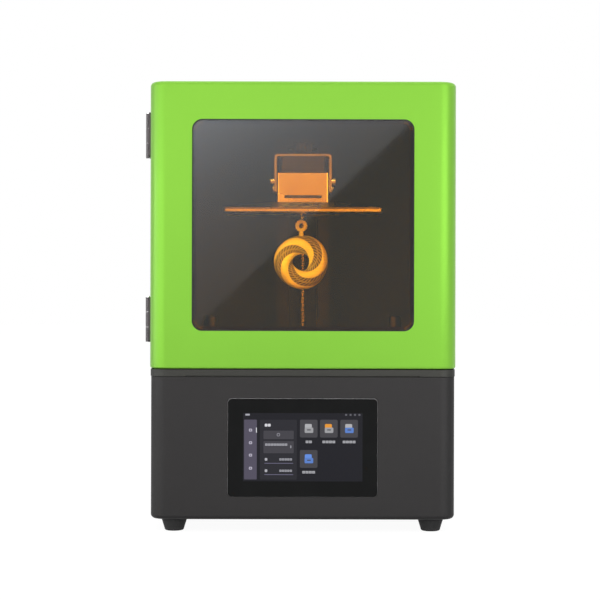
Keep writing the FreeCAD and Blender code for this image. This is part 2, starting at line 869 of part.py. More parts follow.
def door_window():
    """Tinted acrylic sheet, a little below the face of the door."""
    body = piece("door_window", y="front + window_recess", z="deck_top + door_bottom_gap")
    pad(body, "XZ", "0", [window_loop("seal_width", "window_radius - seal_width")],
        "window_thickness")


def window_seal():
    """Thin black strip between the window and the door."""
    body = piece("window_seal", y="front + seal_recess", z="deck_top + door_bottom_gap")
    pad(body, "XZ", "0", [window_loop("0", "window_radius"),
                          window_loop("seal_width", "window_radius - seal_width")],
        "door_wall - seal_recess")


def window_retainer():
    """Frame behind the door's face that traps the window."""
    body = piece("window_retainer", y="front + door_wall", z="deck_top + door_bottom_gap")
    rebate = "window_thickness + window_recess - door_wall"
    outer = window_loop("-retainer_border", "window_radius + retainer_border")
    inner = window_loop("retainer_lap", "window_radius - retainer_lap")
    pad(body, "XZ", "0", [outer, inner], f"{rebate} + retainer_thickness")
    pocket(body, "XZ", "0", [window_loop("seal_width", "window_radius - seal_width")], rebate, "+")


# Hinges

def hinge_leaf(label, level, reach, side, knuckles):
    """A leaf on the side wall with its share of the knuckles; side is + behind the pin."""
    body = piece(label, x="hinge_x", y="hinge_y", z=level)
    wall = "barrel_radius + running_gap"
    middle_x = f"{wall} - leaf_thickness / 2"
    bottom = "-hinge_height / 2"
    plate = rounded(f"{side}({reach} + leaf_start) / 2", "0", f"{reach} - leaf_start",
                    "hinge_height", "leaf_thickness")
    pad(body, "YZ", f"{wall} - leaf_thickness", [plate], "leaf_thickness")
    strap = rectangle(middle_x, f"{side}(leaf_start + barrel_radius) / 2", "leaf_thickness",
                      "leaf_start - hinge_pin_radius / 2")
    barrel = [Ring("0", "0", "barrel_radius"), Ring("0", "0", "hinge_pin_radius + shaft_gap")]
    for place in knuckles:
        start = f"{bottom} + {place} * (knuckle + running_gap)"
        pad(body, "XY", start, barrel, "knuckle")
        pad(body, "XY", start, [strap], "knuckle")


def hinges():
    for name, level in (("upper", "upper_hinge"), ("lower", "lower_hinge")):
        hinge_leaf(f"hinge_cabinet_leaf_{name}", level, "cabinet_leaf_reach", "", (0, 2))
        hinge_leaf(f"hinge_door_leaf_{name}", level, "door_leaf_reach", "-", (1,))


def hinge_pins():
    """A headed pin through each hinge."""
    body = piece("hinge_pins", x="hinge_x", y="hinge_y", z="lower_hinge - hinge_height / 2")
    pin = revolve(body, [
        Corner("0", "0"),
        Corner("hinge_pin_radius", "0"),
        Corner("hinge_pin_radius", "hinge_height"),
        Corner("pin_head_radius", "hinge_height"),
        Corner("pin_head_radius", "hinge_height + pin_head_height"),
        Corner("0", "hinge_height + pin_head_height"),
    ])
    row_of(body, [pin], "Z", "upper_hinge - (lower_hinge)", "2")


# Display

def display_glass():
    """Cover glass of the touch display, slightly proud of the base."""
    body = piece("display_glass", y="-base_depth / 2 - glass_proud", z="foot_height + screen_level")
    pad(body, "XZ", "0", [rounded("0", "0", "glass_width", "glass_height", "glass_radius")],
        "glass_proud + sheet_gauge")
    soften(body, "Fillet", "glass_proud / 2", lambda e: in_plane(e, "Y", "0"))


def display_module():
    """Display panel and its metal bezel behind the front wall."""
    body = piece("display_module", y="-base_depth / 2 + sheet_gauge", z="foot_height + screen_level")
    pad(body, "XZ", "0", [rounded("0", "0", "glass_width + 2 * bezel_lap",
                                  "glass_height + 2 * bezel_lap", "glass_radius")],
        "bezel_thickness")
    pad(body, "XZ", "bezel_thickness", [rounded("0", "0", "panel_width", "panel_height",
                                                "panel_radius")], "panel_thickness")


# Light engine

def mask_lcd():
    """Masking screen that the vat's film lies on."""
    body = piece("mask_lcd", y="vat_y", z="lcd_bottom")
    pad(body, "XY", "0", [rounded("0", "0", "lcd_width", "lcd_depth", "lcd_radius")], "lcd_thickness")


def light_shroud():
    """Tapered duct from the lamp to the mask screen, flanged under the deck."""
    body = piece("light_shroud", y="vat_y", z="led_top")

    def sections(inset):
        top = rounded("0", "0", f"shroud_top_width - 2 * ({inset})",
                      f"shroud_top_depth - 2 * ({inset})", f"shroud_radius - ({inset})")
        bottom = rounded("0", "0", f"shroud_bottom_width - 2 * ({inset})",
                         f"shroud_bottom_depth - 2 * ({inset})", f"shroud_radius - ({inset})")
        return [("0", bottom), ("shroud_height", top)]

    loft(body, "Additive", sections("0"))
    flange = rounded("0", "0", "shroud_top_width + 2 * shroud_flange",
                     "shroud_top_depth + 2 * shroud_flange", "shroud_radius")
    pad(body, "XY", "shroud_height", [flange], "shroud_wall", "-")
    loft(body, "Subtractive", sections("shroud_wall"))


def collimating_lens():
    """Lens tray over the lamp, hollow underneath to clear it."""
    body = piece("collimating_lens", y="vat_y", z="led_top")
    inset = "2 * (shroud_wall + running_gap)"
    width, depth = f"shroud_bottom_width - {inset}", f"shroud_bottom_depth - {inset}"
    pad(body, "XY", "0", [rounded("0", "0", width, depth, "shroud_radius - shroud_wall")],
        "lens_thickness")
    pocket(body, "XY", "0", [rounded("0", "0", f"{width} - 2 * lens_rim", f"{depth} - 2 * lens_rim",
                                     "lens_hollow_radius")], "lens_hollow", "+")


def led_board():
    """Lamp board with a grid of square emitters."""
    body = piece("led_board", y="vat_y", z="led_top - circuit_thickness")
    pad(body, "XY", "0", [rectangle("0", "0", "shroud_bottom_width", "shroud_bottom_depth")],
        "circuit_thickness")
    first = rectangle("-led_pitch_x * (led_columns - 1) / 2", "-led_pitch_y * (led_rows - 1) / 2",
                      "led_size", "led_size")
    emitter = pad(body, "XY", "circuit_thickness", [first], "led_height")
    row_of(body, [emitter], "X", "led_pitch_x * (led_columns - 1)", "led_columns",
           ("Y", "led_pitch_y * (led_rows - 1)", "led_rows"))


def heatsink():
    """Finned heat sink under the lamp board."""
    body = piece("heatsink", y="vat_y", z="led_top - circuit_thickness - sink_plate")
    pad(body, "XY", "0", [rectangle("0", "0", "sink_width", "sink_depth")], "sink_plate")
    span = "(sink_width - sink_fin_thickness)"
    fin = pad(body, "XY", "0", [rectangle(f"-{span} / 2", "0", "sink_fin_thickness", "sink_depth")],
              "sink_fin_height", "-")
    row_of(body, [fin], "X", span, "sink_fin_count")


# Electronics

def main_board():
    """Control board with a processor and a row of sockets."""
    body = piece("main_board", x="board_x", y="board_y", z="floor_top + standoff_height")
    pad(body, "XY", "0", [rounded("0", "0", "board_width", "board_depth", "board_radius")],
        "circuit_thickness")
    chip = rectangle("0", "0", "chip_size", "chip_size")
    pad(body, "XY", "circuit_thickness", [chip], "chip_height")
    sockets = rectangle("-board_width / 2 + socket_width", "0", "socket_width", "socket_length")
    pad(body, "XY", "circuit_thickness", [sockets], "socket_height")


def board_standoffs():
    """Four pillars that carry the control board."""
    along = "board_width / 2 - standoff_inset"
    across = "board_depth / 2 - standoff_inset"
    body = piece("board_standoffs", x=f"board_x - ({along})", y=f"board_y - ({across})",
                 z="floor_top")
    pillar = pad(body, "XY", "0", [Ring("0", "0", "standoff_radius")], "standoff_height")
    row_of(body, [pillar], "X", f"2 * ({along})", "2", ("Y", f"2 * ({across})", "2"))


# Rear and side fittings

def dc_inlet():
    """Round power socket in the rear wall."""
    body = piece("dc_inlet", x="dc_x", y="rear_wall", z="foot_height + inlet_height")
    pad(body, "XZ", "0", [Ring("0", "0", "dc_flange_radius")], "dc_flange_thickness")
    pad(body, "XZ", "0", [Ring("0", "0", "dc_barrel_radius")], "dc_barrel_length", "-")
    pocket(body, "XZ", "dc_flange_thickness", [Ring("0", "0", "dc_bore_radius")],
           "dc_bore_depth", "-")


def switch_body():
    """Housing of the power switch, with a well and trunnion holes for the rocker."""
    body = piece("switch_body", x="switch_x", y="rear_wall", z="foot_height + inlet_height")
    rim = rounded("0", "0", "switch_width + 2 * switch_rim", "switch_height + 2 * switch_rim",
                  "switch_rim")
    pad(body, "XZ", "0", [rim], "switch_flange")
    pad(body, "XZ", "0", [rectangle("0", "0", "switch_width", "switch_height")], "switch_depth", "-")
    well = rectangle("0", "0", "rocker_width + 2 * running_gap", "rocker_well_height")
    pocket(body, "XZ", "switch_flange", [well], "rocker_well_depth + switch_flange", "-")
    reach = "rocker_width / 2 + running_gap + trunnion_reach"
    pocket(body, "YZ", f"-({reach})", [Ring("switch_flange - rocker_pivot_depth", "0",
                                            "trunnion_radius + shaft_gap")], f"2 * ({reach})", "+")


def power_rocker():
    """Dished rocker on two trunnions, stored tipped to one side."""
    body = piece("power_rocker", x="switch_x", y="rear_wall + switch_flange - rocker_pivot_depth",
                 z="foot_height + inlet_height")
    body.Placement.Rotation = FreeCAD.Rotation(Vector(1, 0, 0), -value("rocker_travel") / 2)
    half, tip = "rocker_height / 2", "rocker_pivot_depth + rocker_crown"
    bow = "rocker_height ^ 2 / 8 / rocker_dip + rocker_dip / 2"
    pad(body, "YZ", "-rocker_width / 2", [[
        Corner("-rocker_keel", "-trunnion_radius"),
        Corner("0", f"-({half})"),
        Corner(tip, f"-({half})"),
        Corner(tip, half, bow, -1),
        Corner("0", half),
        Corner("-rocker_keel", "trunnion_radius"),
    ]], "rocker_width")
    reach = "rocker_width / 2 + trunnion_reach"
    pad(body, "YZ", f"-({reach})", [Ring("0", "0", "trunnion_radius")], f"2 * ({reach})")


def usb_port():
    """Data socket in the right wall."""
    body = piece("usb_port", x="base_width / 2", y="front + usb_setback", z="foot_height + usb_height")
    width, height = "usb_slot_width + 2 * usb_wall", "usb_slot_height + 2 * usb_wall"
    flange = rounded("0", "0", f"{width} + 2 * usb_flange", f"{height} + 2 * usb_flange",
                     "usb_flange_radius")
    pad(body, "YZ", "0", [flange], "usb_flange_thickness")
    pad(body, "YZ", "0", [rectangle("0", "0", width, height)], "usb_length", "-")
    pocket(body, "YZ", "usb_flange_thickness",
           [rectangle("0", "0", "usb_slot_width", "usb_slot_height")],
           "usb_slot_depth + usb_flange_thickness", "-")


# Fan

def fan_frame():
    """Square fan housing on the rear wall, with struts that hold the hub."""
    body = piece("fan_frame", x="fan_x", y="rear_wall - sheet_gauge", z="foot_height + fan_level")
    pad(body, "XZ", "0", [rounded("0", "0", "fan_size", "fan_size", "fan_corner_radius"),
                          Ring("0", "0", "fan_bore_radius")], "fan_depth", "-")
    pad(body, "XZ", "-fan_depth", [Ring("0", "0", "fan_hub_radius"),
                                   Ring("0", "0", "fan_shaft_radius + shaft_gap")], "fan_hub_plate")
    reach = "(fan_bore_radius + fan_strut_root - fan_hub_radius / 2)"
    bar = rectangle(f"fan_hub_radius / 2 + {reach} / 2", "0", reach, "fan_strut_width")
    strut = pad(body, "XZ", "-fan_depth", [bar], "fan_hub_plate")
    circle_of(body, [strut], "Y", "fan_strut_count")


def fan_rotor():
    """Hub with cambered blades and a shaft."""
    body = piece("fan_rotor", x="fan_x", y="rear_wall - sheet_gauge", z="foot_height + fan_level")
    hub_back = "-fan_depth + fan_hub_plate + running_gap"
    pad(body, "XZ", hub_back, [Ring("0", "0", "fan_hub_radius")], "fan_hub_depth")
    pad(body, "XZ", hub_back, [Ring("0", "0", "fan_shaft_radius")],
        "fan_hub_plate + running_gap", "-")
    low = f"{hub_back} + fan_blade_margin"
    high = f"{hub_back} + fan_hub_depth - fan_blade_margin"
    blade = pad(body, "YZ", "fan_hub_radius / 2", [[
        Corner(f"{low} + fan_blade_thickness", "-fan_blade_sweep"),
        Corner(high, "fan_blade_sweep", "fan_blade_camber"),
        Corner(f"{high} - fan_blade_thickness", "fan_blade_sweep"),
        Corner(low, "-fan_blade_sweep", "fan_blade_camber", -1),
    ]], "fan_blade_reach - fan_hub_radius / 2")
    circle_of(body, [blade], "Y", "fan_blade_count")


# Z axis

def z_column():
    """Extruded channel that carries the rails."""
    body = piece("z_column", y="column_front", z="deck_top")
    half, channel = "column_width / 2", "channel_width / 2"
    pad(body, "XY", "0", [[
        Corner(f"-{half}", "0"),
        Corner(f"-{channel}", "0"),
        Corner(f"-{channel}", "channel_depth"),
        Corner(channel, "channel_depth"),
        Corner(channel, "0"),
        Corner(half, "0"),
        Corner(half, "column_depth"),
        Corner(f"-{half}", "column_depth"),
    ]], "column_height")


def rail(label, side):
    """Linear rail with waisted sides."""
    body = piece(label, x=f"{side}rail_x", y="column_front", z="deck_top + rail_start")
    half, waist = "rail_width / 2", "rail_waist / 2"
    step = "rail_height / 3"
    pad(body, "XY", "0", [[
        Corner(f"-{half}", "-rail_height"),
        Corner(half, "-rail_height"),
        Corner(waist, f"-2 * {step}"),
        Corner(waist, f"-{step}"),
        Corner(half, "0"),
        Corner(f"-{half}", "0"),
        Corner(f"-{waist}", f"-{step}"),
        Corner(f"-{waist}", f"-2 * {step}"),
    ]], "rail_length")


def rail_blocks():
    """A sliding block on each rail."""
    body = piece("rail_blocks", y="carriage_back", z="carriage_middle - block_height / 2")
    groove_floor = "block_depth + block_lift - rail_height - running_gap"
    groove = "(rail_width / 2 + running_gap)"
    right = pad(body, "XY", "0", [[
        Corner("rail_x - block_width / 2", "0"),
        Corner("rail_x + block_width / 2", "0"),
        Corner("rail_x + block_width / 2", "block_depth"),
        Corner(f"rail_x + {groove}", "block_depth"),
        Corner(f"rail_x + {groove}", groove_floor),
        Corner(f"rail_x - {groove}", groove_floor),
        Corner(f"rail_x - {groove}", "block_depth"),
        Corner("rail_x - block_width / 2", "block_depth"),
    ]], "block_height")
    mirrored(body, [right], "YZ")


def carriage_plate():
    """Plate on the rail blocks, with a bent flag for the limit sensor."""
    body = piece("carriage_plate", y="carriage_front", z="carriage_bottom")
    pad(body, "XY", "0", [rectangle("0", "carriage_thickness / 2", "carriage_width",
                                    "carriage_thickness")], "carriage_height")
    edge = "-carriage_width / 2"
    flag_x = "-(column_width / 2 + sensor_width / 2)"
    pad(body, "XY", "0", [[
        Corner(edge, "carriage_thickness - flag_thickness"),
        Corner(edge, "carriage_thickness"),
        Corner(f"{flag_x} + flag_thickness / 2", "carriage_thickness"),
        Corner(f"{flag_x} + flag_thickness / 2", "carriage_thickness + flag_length"),
        Corner(f"{flag_x} - flag_thickness / 2", "carriage_thickness + flag_length"),
        Corner(f"{flag_x} - flag_thickness / 2", "carriage_thickness - flag_thickness"),
    ]], "flag_height")


def lead_screw():
    """Lead screw from the motor to the top bearing."""
    body = piece("lead_screw", y="screw_y", z="deck_bottom - screw_in_motor")
    pad(body, "XY", "0", [Ring("0", "0", "screw_radius")],
        "screw_in_motor + deck_thickness + column_height - screw_top_gap")


def lead_nut():
    """Nut block behind the carriage, inside the column's channel."""
    body = piece("lead_nut", y="screw_y", z="carriage_middle - nut_height / 2")
    reach = "(screw_y - (carriage_back))"
    pad(body, "XY", "0", [rectangle("0", f"(nut_rear - {reach}) / 2", "nut_width", f"nut_rear + {reach}"),
                          Ring("0", "0", "screw_radius + nut_gap")], "nut_height")


def top_bearing():
    """Bearing block that closes the top of the channel."""
    body = piece("top_bearing", y="screw_y", z="deck_top + column_height - bearing_height")
    pad(body, "XY", "0", [rectangle("0", "channel_depth / 2 - screw_inset", "channel_width",
                                    "channel_depth"),
                          Ring("0", "0", "screw_radius + shaft_gap")], "bearing_height")


def z_motor():
    """Stepper motor under the deck, with its pilot in the deck's hole."""
    body = piece("z_motor", y="screw_y", z="deck_bottom")
    pad(body, "XY", "0", [rounded("0", "0", "motor_size", "motor_size", "motor_corner_radius")],
        "motor_height", "-")
    pad(body, "XY", "0", [Ring("0", "0", "pilot_radius")], "pilot_height")
    pocket(body, "XY", "pilot_height", [Ring("0", "0", "screw_radius + motor_shaft_gap")],
           "screw_in_motor + pilot_height", "-")


def limit_sensor():
    """Forked sensor low on the column that the carriage's flag drops into."""
    body = piece("limit_sensor", x="-column_width / 2", y="column_front + screw_inset",
                 z="deck_top + sensor_level")
    pad(body, "XY", "0", [rectangle("-sensor_width / 2", "0", "sensor_width", "sensor_depth")],
        "sensor_height")
    pocket(body, "XY", "sensor_height", [rectangle("-sensor_width / 2", "0", "sensor_slot",
                                                   "sensor_depth + cut_margin")], "sensor_slot_depth", "-")


# Vat

def resin_vat():
    """Aluminium vat, open at the bottom for its film, with finger grips in the sides."""
    body = piece("resin_vat", y="vat_y", z="deck_top")
    pad(body, "XY", "0", [rounded("0", "0", "vat_width", "vat_depth", "vat_radius")], "vat_height")
    soften(body, "Fillet", "vat_rim_round", lambda e: in_plane(e, "Z", "vat_height"))
    well = rounded("0", "0", "well_width", "well_depth", "well_radius")
    holes = []
    for side in ("-", ""):
        holes.append(Ring(f"{side}vat_screw_spread / 2", "0", "vat_shank_radius + vat_shank_gap"))
    pocket(body, "XY", "vat_height", [well] + holes, "vat_height + cut_margin", "-")
    rebate = rounded("0", "0", "clamp_ring_width + 2 * seat_gap", "clamp_ring_depth + 2 * seat_gap",
                     "clamp_ring_radius + seat_gap")
    pocket(body, "XY", "0", [rebate], "film_rebate", "+")
    grip = rounded("0", "grip_level + grip_height / 2", "grip_length", "grip_height",
                   "grip_radius")
    cut = pocket(body, "YZ", "vat_width / 2", [grip], "grip_depth", "-")
    mirrored(body, [cut], "YZ")


def release_film():
    """Clear film stretched across the vat."""
    body = piece("release_film", y="vat_y", z="deck_top + clamp_ring_height")
    pad(body, "XY", "0", [rounded("0", "0", "clamp_ring_width", "clamp_ring_depth",
                                  "clamp_ring_radius")], "film_thickness")


def film_clamp():
    """Ring that clamps the film into the vat."""
    body = piece("film_clamp", y="vat_y", z="deck_top")
    pad(body, "XY", "0", [
        rounded("0", "0", "clamp_ring_width", "clamp_ring_depth", "clamp_ring_radius"),
        rounded("0", "0", "clamp_ring_inner_width", "clamp_ring_inner_depth",
                "clamp_ring_inner_radius"),
    ], "clamp_ring_height")


def vat_knob(label, side):
    """Fluted thumb screw that holds the vat to the deck."""
    body = piece(label, x=f"{side}vat_screw_spread / 2", y="vat_y", z="vat_top + vat_knob_lift")
    shank = "vat_height + vat_knob_lift + deck_thickness"
    revolve(body, [
        Corner("0", f"-({shank})"),
        Corner("vat_shank_radius", f"-({shank})"),
        Corner("vat_shank_radius", "0"),
        Corner("vat_knob_radius", "0"),
        Corner("vat_knob_radius", "vat_knob_height - vat_knob_round"),
        Corner("vat_knob_radius - vat_knob_round", "vat_knob_height", "vat_knob_round"),
        Corner("0", "vat_knob_height"),
    ])
    flute = pocket(body, "XY", "vat_knob_height", [Ring("vat_knob_radius", "0", "flute_radius")],
                   "vat_knob_height", "-")
    circle_of(body, [flute], "Z", "vat_flute_count")


# Build head

def lift_arm():
    """Arm from the carriage out over the vat, with a gusset at its root."""
    body = piece("lift_arm", y="vat_y", z="arm_bottom")
    root, tip = "(carriage_front - (vat_y))", "-head_depth / 2"
    pad(body, "YZ", "-arm_width / 2", [[
        Corner(tip, "0"),
        Corner(f"{root} - gusset_reach", "0"),
        Corner(f"{root} - gusset_foot", "-gusset_drop"),
        Corner(root, "-gusset_drop"),
        Corner(root, "arm_height"),
        Corner(tip, "arm_height"),
    ]], "arm_width")
    soften(body, "Fillet", "yoke_round", lambda e: upright(e) and in_plane(e, "Y", tip))
    pocket(body, "XY", "arm_height", [Ring("0", "0", "clamp_shank_radius + running_gap")],
           "arm_height + cut_margin", "-")


def yoke():
    """Bent strap over the arm that carries the head between its legs."""
    body = piece("yoke", y="vat_y", z="arm_top - (yoke_leg - yoke_thickness)")
    half, inner = "yoke_width / 2", "(yoke_width / 2 - yoke_thickness)"
    r, ri = "yoke_round", "(yoke_round - yoke_thickness)"
    top, under = "yoke_leg", "(yoke_leg - yoke_thickness)"
    pad(body, "XZ", "-yoke_depth / 2", [[
        Corner(f"-{inner}", "0"),
        Corner(f"-{inner}", f"{under} - {ri}"),
        Corner(f"-{inner} + {ri}", under, ri, -1),
        Corner(f"{inner} - {ri}", under),
        Corner(inner, f"{under} - {ri}", ri, -1),
        Corner(inner, "0"),
        Corner(half, "0"),
        Corner(half, f"{top} - {r}"),
        Corner(f"{half} - {r}", top, r),
        Corner(f"-{half} + {r}", top),
        Corner(f"-{half}", f"{top} - {r}", r),
        Corner(f"-{half}", "0"),
    ]], "yoke_depth")
    pocket(body, "XY", "yoke_leg", [Ring("0", "0", "clamp_shank_radius + running_gap")],
           "2 * yoke_thickness", "-")
    hole = "level_screw_radius + level_screw_gap"
    pocket(body, "YZ", "yoke_width / 2", [Ring("-level_screw_offset", "upper_screw_level", hole),
                                          Ring("level_screw_offset", "lower_screw_level", hole)],
           "yoke_width", "-")


def head_block():
    """Block between the plate and the yoke, slotted across its face."""
    body = piece("head_block", y="vat_y", z="head_bottom")
    pad(body, "XY", "0", [rounded("0", "0", "head_width", "head_depth", "head_radius")],
        "head_height")
    across = rounded("0", "head_slot_level + head_slot_height / 2", "head_slot_width",
                     "head_slot_height", "head_slot_height / 3")
    pocket(body, "XZ", "-head_depth / 2", [across], "head_slot_depth", "+")
    leg = "(arm_top - (yoke_leg - yoke_thickness) - (head_bottom))"
    hole = "level_screw_radius + level_screw_gap"
    holes = [Ring("-level_screw_offset", f"{leg} + upper_screw_level", hole),
             Ring("level_screw_offset", f"{leg} + lower_screw_level", hole)]
    right = pocket(body, "YZ", "head_width / 2", holes, "level_screw_grip + cut_margin", "-")
    mirrored(body, [right], "YZ")


def levelling_screws():
    """Four cap screws through the yoke's legs into the head block."""
    body = piece("levelling_screws", y="vat_y", z="arm_top - (yoke_leg - yoke_thickness)")
    screws = []
    for along, level, head in (("-level_screw_offset", "upper_screw_level", "upper_head_height"),
                               ("level_screw_offset", "lower_screw_level", "lower_head_height")):
        cap, shank = Ring(along, level, "level_head_radius"), Ring(along, level, "level_screw_radius")
        reach = "(yoke_width - head_width) / 2 + level_screw_grip"
        screws.append(pad(body, "YZ", "yoke_width / 2", [cap], head))
        screws.append(pad(body, "YZ", "yoke_width / 2", [shank], reach, "-"))
    mirrored(body, screws, "YZ")


def clamp_knob():
    """Fluted knob whose screw clamps the yoke to the arm."""
    body = piece("clamp_knob", y="vat_y", z="arm_top + yoke_thickness")
    revolve(body, [
        Corner("0", "-clamp_shank_length"),
        Corner("clamp_shank_radius", "-clamp_shank_length"),
        Corner("clamp_shank_radius", "0"),
        Corner("clamp_knob_foot_radius", "0"),
        Corner("clamp_knob_radius", "clamp_knob_height / 3"),
        Corner("clamp_knob_radius", "clamp_knob_height - clamp_knob_round"),
        Corner("clamp_knob_radius - clamp_knob_round", "clamp_knob_height", "clamp_knob_round"),
        Corner("0", "clamp_knob_height"),
    ])
    flute = pocket(body, "XY", "clamp_knob_height",
                   [Ring("clamp_knob_radius + clamp_flute_radius / 3", "0", "clamp_flute_radius")],
                   "clamp_knob_height", "-")
    circle_of(body, [flute], "Z", "clamp_flute_count")


def build_plate():
    """Flat plate whose upper side slopes up to the head block so that resin runs off."""
    body = piece("build_plate", y="vat_y", z="plate_bottom")
    edge = rounded("0", "0", "plate_width", "plate_depth", "plate_radius")
    crown = rounded("0", "0", "crown_width", "crown_depth", "plate_radius")
    pad(body, "XY", "0", [edge], "plate_edge")
    loft(body, "Additive", [("plate_edge", edge), ("plate_edge + plate_crown", crown)])


# Sample print

def sample_print():
    """Ring with leaning ribs and a hanging eye, on three struts under the plate."""
    ring_drop = value("print_drop")
    ring = Part.makeTorus(value("print_ring_radius"), value("print_tube_radius"),
                          Vector(0, 0, -ring_drop), Vector(0, 1, 0))
    parts = []
    for index in range(int(value("print_rib_count"))):
        turn = 360 * index / value("print_rib_count")
        rib = Part.makeTorus(value("print_tube_radius"), value("print_rib_radius"))
        rib.rotate(Vector(0, 0, 0), Vector(1, 0, 0), value("print_rib_lean"))
        rib.translate(Vector(value("print_ring_radius"), 0, 0))
        rib.rotate(Vector(0, 0, 0), Vector(0, 1, 0), turn)
        rib.translate(Vector(0, 0, -ring_drop))
        parts.append(rib)
    parts.append(Part.makeTorus(value("print_eye_radius"), value("print_eye_tube"),
                                Vector(0, 0, -value("print_eye_drop")), Vector(0, 1, 0)))
    neck_foot = ring_drop - value("print_ring_radius")
    neck = neck_foot - value("print_eye_drop + print_eye_radius")
    parts.append(Part.makeCylinder(value("print_neck_radius"), neck, Vector(0, 0, -neck_foot)))
    spread = value("print_strut_spread")
    for x in (-spread, 0, spread):
        reach = value("print_ring_radius") ** 2 - x ** 2
        foot = ring_drop - math.sqrt(reach) if x else value("print_eye_drop") - value("print_eye_radius")
        parts.append(Part.makeCylinder(value("print_strut_radius"), foot, Vector(x, 0, -foot)))
        parts.append(Part.makeCylinder(value("print_raft_radius"), value("print_raft_height"),
                                       Vector(x, 0, -value("print_raft_height"))))
    node = doc.addObject("Part::Feature", "sample_print")
    node.Label = "sample_print"
    node.Shape = ring.multiFuse(parts)
    node.Placement.Base = Vector(0, value("vat_y"), value("plate_bottom"))
    nodes.append(node)


def build():
    for make in (base_shell, bottom_plate, rubber_feet, deck_plate, cabinet_wrap, cabinet_top,
                 front_frame, door_gasket, magnet_catches, door_frame, door_window, window_seal,
                 window_retainer, hinges, hinge_pins, display_glass, display_module, mask_lcd,
                 light_shroud, collimating_lens, led_board, heatsink, main_board, board_standoffs,
                 dc_inlet, switch_body, power_rocker, usb_port, fan_frame, fan_rotor, z_column,
                 rail_blocks, carriage_plate, lead_screw, lead_nut, top_bearing, z_motor,
                 limit_sensor, resin_vat, release_film, film_clamp, lift_arm, yoke, head_block,
                 levelling_screws, clamp_knob, build_plate, sample_print):
        make()
    for side_name, side in (("left", "-"), ("right", "")):
        rail(f"rail_{side_name}", side)
        vat_knob(f"vat_knob_{side_name}", side)
    doc.recompute()


def write_parts():
    for item in doc.Objects:
        if "Invalid" in item.State or "Error" in item.State:
            raise ValueError(f"{item.Label} failed")
    for node in nodes:
        if node.Shape.isNull() or not node.Shape.isValid():
            raise ValueError(f"{node.Label} has no valid shape")
    os.makedirs("parts", exist_ok=True)
    for node in nodes:
        node.Shape.exportStep(f"parts/{node.Label}.step")


build()
write_parts()
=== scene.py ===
"""Dresses a desktop resin printer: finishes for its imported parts, the small pieces that they
carry, and a plain studio. Sizes are metres in the printer's own frame: X right, Y back, Z up."""

import math

import bmesh
import bpy
import numpy as np
from bpy.props import FloatProperty, FloatVectorProperty, IntProperty, PointerProperty
from mathutils import Matrix, Vector


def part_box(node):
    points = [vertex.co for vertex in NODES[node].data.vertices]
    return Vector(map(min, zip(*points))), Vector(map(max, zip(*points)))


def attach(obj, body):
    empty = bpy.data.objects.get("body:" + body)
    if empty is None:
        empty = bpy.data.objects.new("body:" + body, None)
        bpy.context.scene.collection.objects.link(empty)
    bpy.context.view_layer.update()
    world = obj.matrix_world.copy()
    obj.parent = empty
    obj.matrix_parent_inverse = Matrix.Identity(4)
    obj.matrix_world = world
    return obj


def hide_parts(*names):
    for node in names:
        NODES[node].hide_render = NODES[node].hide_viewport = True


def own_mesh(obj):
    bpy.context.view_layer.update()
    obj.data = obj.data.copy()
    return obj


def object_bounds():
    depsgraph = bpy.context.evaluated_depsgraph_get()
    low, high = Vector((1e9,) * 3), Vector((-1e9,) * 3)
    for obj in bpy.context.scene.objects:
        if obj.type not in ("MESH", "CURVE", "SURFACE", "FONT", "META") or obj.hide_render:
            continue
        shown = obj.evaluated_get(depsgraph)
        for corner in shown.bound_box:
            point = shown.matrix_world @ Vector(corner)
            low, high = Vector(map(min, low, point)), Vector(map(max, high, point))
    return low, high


bl_info = {
    "name": "Resin printer dressing",
    "version": (1, 0, 0),
    "blender": (4, 5, 0),
    "location": "View3D > Sidebar > Printer",
    "description": "Finishes, small pieces and a studio for a desktop resin printer",
    "category": "Object",
}

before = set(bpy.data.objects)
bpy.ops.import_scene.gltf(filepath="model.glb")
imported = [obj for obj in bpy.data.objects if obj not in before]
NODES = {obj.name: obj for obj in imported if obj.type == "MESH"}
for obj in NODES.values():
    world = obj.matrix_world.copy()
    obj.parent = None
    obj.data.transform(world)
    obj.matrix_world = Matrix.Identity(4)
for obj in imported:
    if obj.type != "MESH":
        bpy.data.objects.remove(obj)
CAD_BOX = [list(corner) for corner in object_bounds()]


def colour_prop(name, description, default):
    return FloatVectorProperty(name=name, description=description, default=default,
                               subtype="COLOR", size=3, min=0.0, max=1.0)


def length_prop(name, description, default):
    return FloatProperty(name=name, description=description, default=default, unit="LENGTH")


class PrinterColours(bpy.types.PropertyGroup):
    """Colours that a user would change."""

    door: colour_prop("Door", "Powder coat of the door", (0.255, 0.61, 0.063))
    cabinet: colour_prop("Cabinet", "Powder coat of the base and hood", (0.0203, 0.0198, 0.02))
    deck: colour_prop("Deck", "Powder coat of the deck's edge", (0.035, 0.0355, 0.0325))
    acrylic: colour_prop("Acrylic", "Tint of light that has passed the window once",
                         (0.89, 0.49, 0.06))
    resin: colour_prop("Print", "Cured resin of the sample print", (0.95, 0.92, 0.32))
    metal: colour_prop("Aluminium", "Anodised aluminium", (0.72, 0.72, 0.73))


